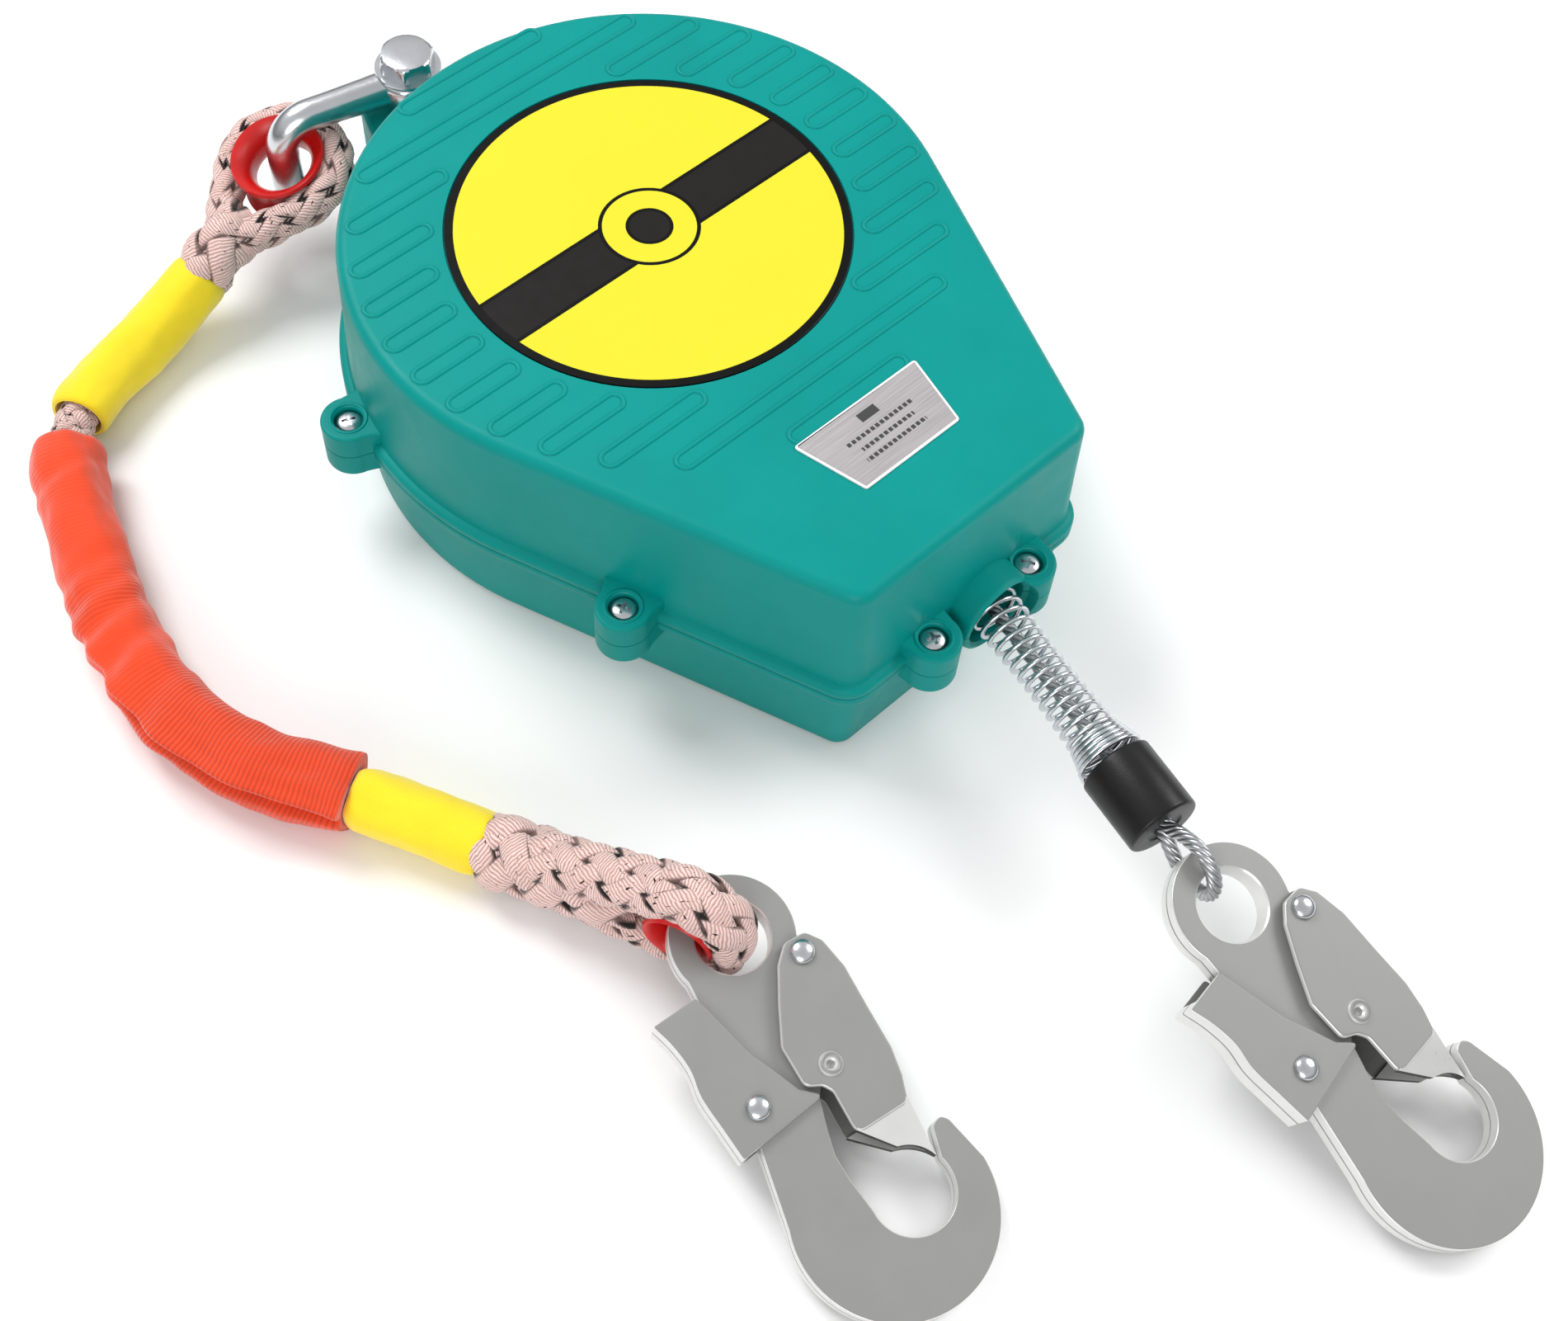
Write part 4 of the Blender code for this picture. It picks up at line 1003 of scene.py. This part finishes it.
def hook_body_outline():
    eye = arc(0, 0, HOOK_EYE_OUT, 60, 285, 48)
    bend = arc(BEND_U, BEND_V, BEND_R, 248, 448, 60)
    throat = arc(THROAT_U, THROAT_V, THROAT_R, 105, -96, 40)
    nose = [(74.6, 23.8), (72.6, 22.2), (73.2, 18.8), (78, 17.2)]
    left = [(14, -18.6), (50, -24.5)]
    right = [(74, -9), (66, -8.8), (58, -6.4), (50.5, -3.6), (38, 6), (30, 11.5), (22.5, 16),
             (17, 17.3), (12, 16.6)]
    return filleted(eye + left + bend + nose + throat + right, 3)


def gate_outline():
    outer = [(9.8, 17.4), (14.5, 20.6), (24, 21.9), (38, 21), (50, 20.4), (58, 18.6), (65, 15.8)]
    inner = [(65, -1.4), (51.6, -0.6), (48.8, -2.2), (46.5, -6.6), (34, -6.2), (23.6, -0.4), (14, 5.6),
             (9.6, 10.5)]
    return filleted(outer + inner, 3)


def lever_outline():
    thumb = [(10.6, -33.2), (18, -31.4), (26, -30.8), (34, -32.2), (44, -31.8), (54.2, -31.3)]
    upper = [(50.9, -2.9), (46, -8), (38, -11.2), (30.8, -14.2), (9.7, -18.8)]
    return filleted(smooth(thumb, 1.5) + upper, 1.2)


def hole(radius, depth, pivot, chamfer=0.3):
    half = [(radius, depth - chamfer), (radius + chamfer, depth), (radius + chamfer, depth + 3)]
    return moved(turned([(r, -z) for r, z in reversed(half)] + half), shifted(*pivot))


def tongue(depth, tip_wide):
    """The gate's end, which slopes down to the hook's nose. With a depth, its hollow."""
    wide = GATE_OUT - depth
    start, end = TONGUE_FROM - 3 * depth, 80.8 - 1.6 * depth
    corners = ((start, -1.3 - 14 * depth, wide), (start, 16.2 - depth, wide),
               (end, 13.4 - 8 * depth, tip_wide), (end, 15.7 - depth, tip_wide))
    bm = bmesh.new()
    for way, (u, v, w) in product((-1, 1), corners):
        bm.verts.new(Vector((u, v, way * w)) * MM)
    bmesh.ops.convex_hull(bm, input=bm.verts)
    bmesh.ops.recalc_face_normals(bm, faces=bm.faces)
    return bm


def rivet_shape(cheek, pivot):
    """A rivet with a domed head over each cheek."""
    head_r, base = RIVET_R + 1.5, cheek + 0.05
    dome = [(head_r * cos(t), cheek + 0.25 + 2 * sin(t)) for t in quarter(7)[:-1]]
    dome = [(RIVET_R, base), (head_r, base)] + dome + [(0.25, cheek + 2.25)]
    return moved(turned([(r, -z) for r, z in reversed(dome)] + dome, 32), shifted(*pivot))


def on_both_cheeks(profile, ring=False):
    """A turned shape at the gate's dimple and its mirror image on the other cheek, as one mesh."""
    bm = turned(profile, 32, ring, GATE_OUT)
    copy = bmesh.ops.duplicate(bm, geom=bm.verts[:] + bm.edges[:] + bm.faces[:])["geom"]
    bmesh.ops.scale(bm, vec=(1, 1, -1), verts=[v for v in copy if isinstance(v, bmesh.types.BMVert)])
    bmesh.ops.recalc_face_normals(bm, faces=bm.faces)
    return moved(bm, shifted(*GATE_DIMPLE))


def hook_plate(prefix, name, body, node, shape, changes, tongue_from=inf):
    piece(f"{prefix}_{name}", shape, "hook_steel", f"{prefix}_{body}", f"{prefix}_{node}", changes,
          dress=lambda obj, look: paint_edge_highlights_and_throat_shade(obj, tongue_from), weighted=True, matrix=hook_matrix(prefix))


def build_hook_body(prefix):
    shape = plate(hook_body_outline(), -HOOK_PLATE, HOOK_PLATE, 0.45, 3, seam=0.35)
    eye = hole(HOOK_EYE_R, HOOK_PLATE, (0, 0), 0.5)
    hook_plate(prefix, "hook_plates", "hook", "hook_body", shape, [(CUT, eye)])


def build_gate(prefix):
    """A folded plate with two cheeks, a tongue to the hook's nose and a pressed dimple."""
    pocket = [(0, -20), (67, -20), (67, 13.6), (58, 17), (50, 18.8), (38, 19.4), (24, 20.3), (15, 19.2),
              (8.4, 15.8), (0, 15.8)]
    rise = ((3.7, -0.3), (3.5, 0.05), (3.1, 0.75), (2.6, 1), (2.1, 0.75), (1.7, -0.3))
    dent = ((0.5, -0.9), (1.3, -0.6), (1.9, 0.1), (2.2, 1.6))
    changes = [(CUT, prism(pocket, -GATE_IN, GATE_IN)), (ADD, tongue(0, 1.7)), (CUT, tongue(1.4, 0.4)),
               (CUT, moved(rod(THROAT_R + 0.2, -20, 20, 64), shifted(THROAT_U, THROAT_V))),
               (CUT, hole(RIVET_R + 0.2, GATE_OUT, GATE_PIVOT)), (ADD, on_both_cheeks(rise, ring=True)),
               (CUT, on_both_cheeks(dent))]
    shape = plate(gate_outline(), -GATE_OUT, GATE_OUT, 0.8, 5)
    hook_plate(prefix, "gate_plate", "gate", "gate", shape, changes, TONGUE_FROM)


def build_lever(prefix):
    pocket = [(0, -29.6), (18, -29.6), (26, -29.2), (34, -30.6), (44, -30.2), (60, -29.6), (60, 10), (0, 10)]
    shape = plate(lever_outline(), -LEVER_OUT, LEVER_OUT, 0.4, 4, seam=0.4)
    hook_plate(prefix, "lever_plate", "lever", "lever", shape, [
        (CUT, prism(pocket, -LEVER_IN, LEVER_IN)), (CUT, hole(RIVET_R + 0.2, LEVER_OUT, LEVER_PIVOT))])


def build_hook(prefix):
    build_hook_body(prefix)
    build_gate(prefix)
    build_lever(prefix)
    for part, cheek, pivot in (("gate", GATE_OUT, GATE_PIVOT), ("lever", LEVER_OUT, LEVER_PIVOT)):
        piece(f"{prefix}_{part}_pin", rivet_shape(cheek, pivot), "zinc", f"{prefix}_hook",
              f"{prefix}_{part}_rivet", matrix=hook_matrix(prefix), angle=50)


# ---- lanyard

ROPE_R = 7.0
ROUTE = ((-82, 127.5, 26), (-96, 126.5, 18), (-114, 123.8, 12), (-136, 118, 11),
         (-153, 110.5, 11.3), (-164.5, 98.5, 12.3), (-173, 82, 12.7), (-180.5, 62, 12.7),
         (-189.5, 34.5, 12.7), (-194.5, 3, 12.7), (-190.5, -24, 12.7), (-182, -44.5, 12.7),
         (-170.5, -63, 12), (-158.5, -86, 11.2), (-149, -107, 12.2))
UPPER_SLEEVE, WEBBING_SPAN, LOWER_SLEEVE = (9, 77), (92, 264), (264.5, 308.5)
SLEEVE_R, WEBBING_R, SLEEVE_BORE = 10.6, 12.3, 7.9
CREASES = ((12, 0.6, 2.6), (50, 0.8, 3.4), (59, 1.1, 3), (70, 1.3, 3), (83, 1.5, 3.6), (101, 0.8, 4.2))
FOLD_AT = radians(56)
THIMBLE_WALL, THIMBLE_HALF = 1.5, 8.3
UPPER_EYE_HOLE, LOWER_EYE_HOLE = 10.2, 7


def braid(path, radius, pitch=34, side=None, flat=1):
    """Rope of flat strands plaited over and under each other round a core."""
    core = tube(path, radius * 0.64, 16, side, flat)
    strands = strand_set(path, radius * 0.67, radius * 0.405, radius * 0.25, 4, pitch, 12, radius * 0.09,
                         side=side, flat=flat)
    return merged(core, strands)


def on_fold(t, share):
    """How far the fold has opened along the webbing, and the angle from it."""
    return max(0, min(1, (share - 0.42) / 0.25)), (t - FOLD_AT + pi) % (2 * pi) - pi


def folds(s, t, share):
    """Creases across the webbing in its bend, and the fold along it that opens at its far end."""
    crease = 0
    for at, depth, width in CREASES:
        reach = (s - at - 5 * sin(t + 0.6)) / width
        crease -= depth * (exp(-reach ** 2) - 0.7 * exp(-(reach - 1.9) ** 2)) * (0.55 - 0.45 * cos(t + 2.4))
    grown, off = on_fold(t, share)
    fold = 2.2 * exp(-(off / 0.15) ** 2) - 1.4 * exp(-((off + 0.75) / 0.45) ** 2)
    fold -= 2.3 * exp(-((off - 0.32) / 0.14) ** 2)
    return crease + grown * fold + 1.4 * exp(-(1 - share) * 172 / 7) * (0.6 + 0.6 * cos(3 * off))


def lean(t, share):
    """How far the ribs lean along the webbing below its fold."""
    grown, off = on_fold(t, share)
    return -4.5 * grown * sin(max(0, min(pi, off * 1.1)))


def uneven(s, t, seed, along, rough, fine):
    """Wrinkles of two sizes in a sleeve's surface."""
    spot = Vector((s / along, cos(t) * 1.3 + seed * 7, sin(t) * 1.3))
    small = Vector((s / 6, cos(t) * 3 + seed * 3, sin(t) * 3))
    return noise.noise(spot) * rough + noise.noise(small) * fine


def soft_tube(name, route, span, radius, slot, node, seed):
    """A fabric sleeve round the rope, with wrinkles, a hem at each end and a hollow inside."""
    length = span[1] - span[0]
    line = frames(stretch(route, *span, 1.4))
    webbing = slot == "webbing"
    turns = circle(96 if webbing else 56)
    loops = []
    for i, (p, a, b) in enumerate(line):
        s = length * i / (len(line) - 1)
        ends = min(s, length - s)
        loop = []
        for t in turns:
            r = radius - 0.5
            if webbing:
                r += uneven(s, t, seed, 15, 1.4, 0.3) + folds(s, t, s / length) - 0.6 * exp(-ends / 0.8)
            else:
                r += uneven(s, t, seed, 20, 0.9, 0.25) - 1.5 * exp(-ends / 1.6)
            point = p + a * r * cos(t) + b * r * sin(t)
            if webbing:
                point += a.cross(b) * lean(t, s / length) * min(1, ends / 6)
            point.z = max(point.z, 0.35)
            loop.append(point)
        loops.append(loop)
    loops += [ring_of(p, a * SLEEVE_BORE, b * SLEEVE_BORE, turns) for p, a, b in reversed(line)]
    return piece(name, loft(loops, closed=True), slot, "lanyard", node, angle=70)


def teardrop(centre, along, across, radius, reach):
    """An open path round an eye: out of the splice, round the thimble and back."""
    bow = [centre - along * u + across * v for u, v in arc(0, 0, radius, -120, 120, 12)]
    legs = [(centre + along * (radius + (reach - radius) * share), across * off)
            for share, off in ((0.62, 6.6), (0.86, 4.4), (1, 3.2))]
    return smooth([p - off for p, off in reversed(legs)] + bow + [p + off for p, off in legs], 1.3)


def thimble_shape(hole_r, flare):
    """A ring with a round throat inside and lips that flare out at both ends."""
    inner = [(hole_r + flare * abs(k / 7) ** 2.6, THIMBLE_HALF * k / 7) for k in range(-7, 8)]
    outer = [(r + THIMBLE_WALL, w * 0.92) for r, w in reversed(inner)]
    lip_r, lip_w = hole_r + flare + 0.9, THIMBLE_HALF + 0.35
    return turned(inner + [(lip_r, lip_w)] + outer + [(lip_r, -lip_w)], 64, ring=True)


def splice_shape(path, wide, narrow, side):
    """Tucked strands where an eye's legs join the rope, from inside the sleeve's end."""
    total = runs(path)[-1]

    def ring(t):
        full = wide + (narrow - wide) * t - 3.4 - 8 * max(0, t - 0.8)
        return min(full, 4.9 + 0.62 * t * total)

    core = tube(path, lambda t: ring(t) + 0.2, 20, side=side)
    return merged(core, strand_set(path, ring, 4.9, 3.2, 3, 50, 14, 1.2, side=side))


def build_eye(prefix, line, upright, hole_r, flare, rope_r, wide, flat, inside, length, splice_r):
    """An eye of rope round its thimble, flat or upright, and the splice that joins it to the lanyard."""
    low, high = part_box(f"thimble_{prefix}")
    centre, end = (low + high) / 2 / MM, line[0]
    reach = (end - centre).normalized()
    across = UP.cross(reach).normalized()
    if upright:
        across = reach.cross(across)
    axis = reach.cross(across)
    radius = hole_r + THIMBLE_WALL + 0.3 + rope_r
    rope = braid(teardrop(centre, reach, across, radius, (end - centre).length - 6), wide, 62, axis, flat)
    legs = [end - reach * back for back in (1, length / 2, length)]
    run = smooth([point_at(line, inside)] + legs, 1.3)
    return [piece(f"{prefix}_eye_plait", rope, "rope", "lanyard", f"rope_eye_{prefix}", angle=60),
            piece(f"{prefix}_thimble_ring", thimble_shape(hole_r, flare), "red_nylon", "lanyard",
                  f"thimble_{prefix}", angle=50, matrix=basis(centre * MM, reach, across, axis)),
            piece(f"{prefix}_splice", splice_shape(run, *splice_r, axis), "rope", "lanyard", angle=60)]


def build_lanyard():
    route = smooth(ROUTE, 2.2)
    rope = piece("lanyard_plait", braid(route, ROPE_R), "rope", "lanyard", "lanyard_rope", angle=60)
    on_rope = [
        soft_tube("yellow_sleeve_upper", route, UPPER_SLEEVE, SLEEVE_R, "yellow_fabric", "sleeve_upper", 1),
        soft_tube("orange_webbing", route, WEBBING_SPAN, WEBBING_R, "webbing", "webbing_sleeve", 2),
        soft_tube("yellow_sleeve_lower", route, LOWER_SLEEVE, SLEEVE_R, "yellow_fabric", "sleeve_lower", 3),
        *build_eye("upper", route, False, UPPER_EYE_HOLE, flare=4.6, rope_r=6.5, wide=7, flat=0.86,
                   inside=11, length=15, splice_r=(10, 9)),
        *build_eye("lower", route[::-1], True, LOWER_EYE_HOLE, flare=2.6, rope_r=5.7, wide=9.2,
                   flat=0.62, inside=8.6, length=42, splice_r=(11.8, 10.4))]


# ---- the whole object

def dress_remaining():
    """Gives the nodes that no piece replaces the looks of their slots."""
    slots = {entry["node"]: entry["material_slot"] for entry in frame["record"]["subparts"]}
    for name, obj in frame["nodes"].items():
        if not obj.hide_render:
            dressed(obj, slots[name])


def main():
    make_looks()
    for build in (build_camera, build_light, build_floor, build_lanyard):
        build()
    build_hook("lanyard")
    for build in (build_case, build_hanger, build_bow, build_bolt, build_nut, build_split_pin, build_wire,
                  build_loop, build_buffer, build_stopper, build_bush):
        build()
    build_hook("line")
    dress_remaining()


main()
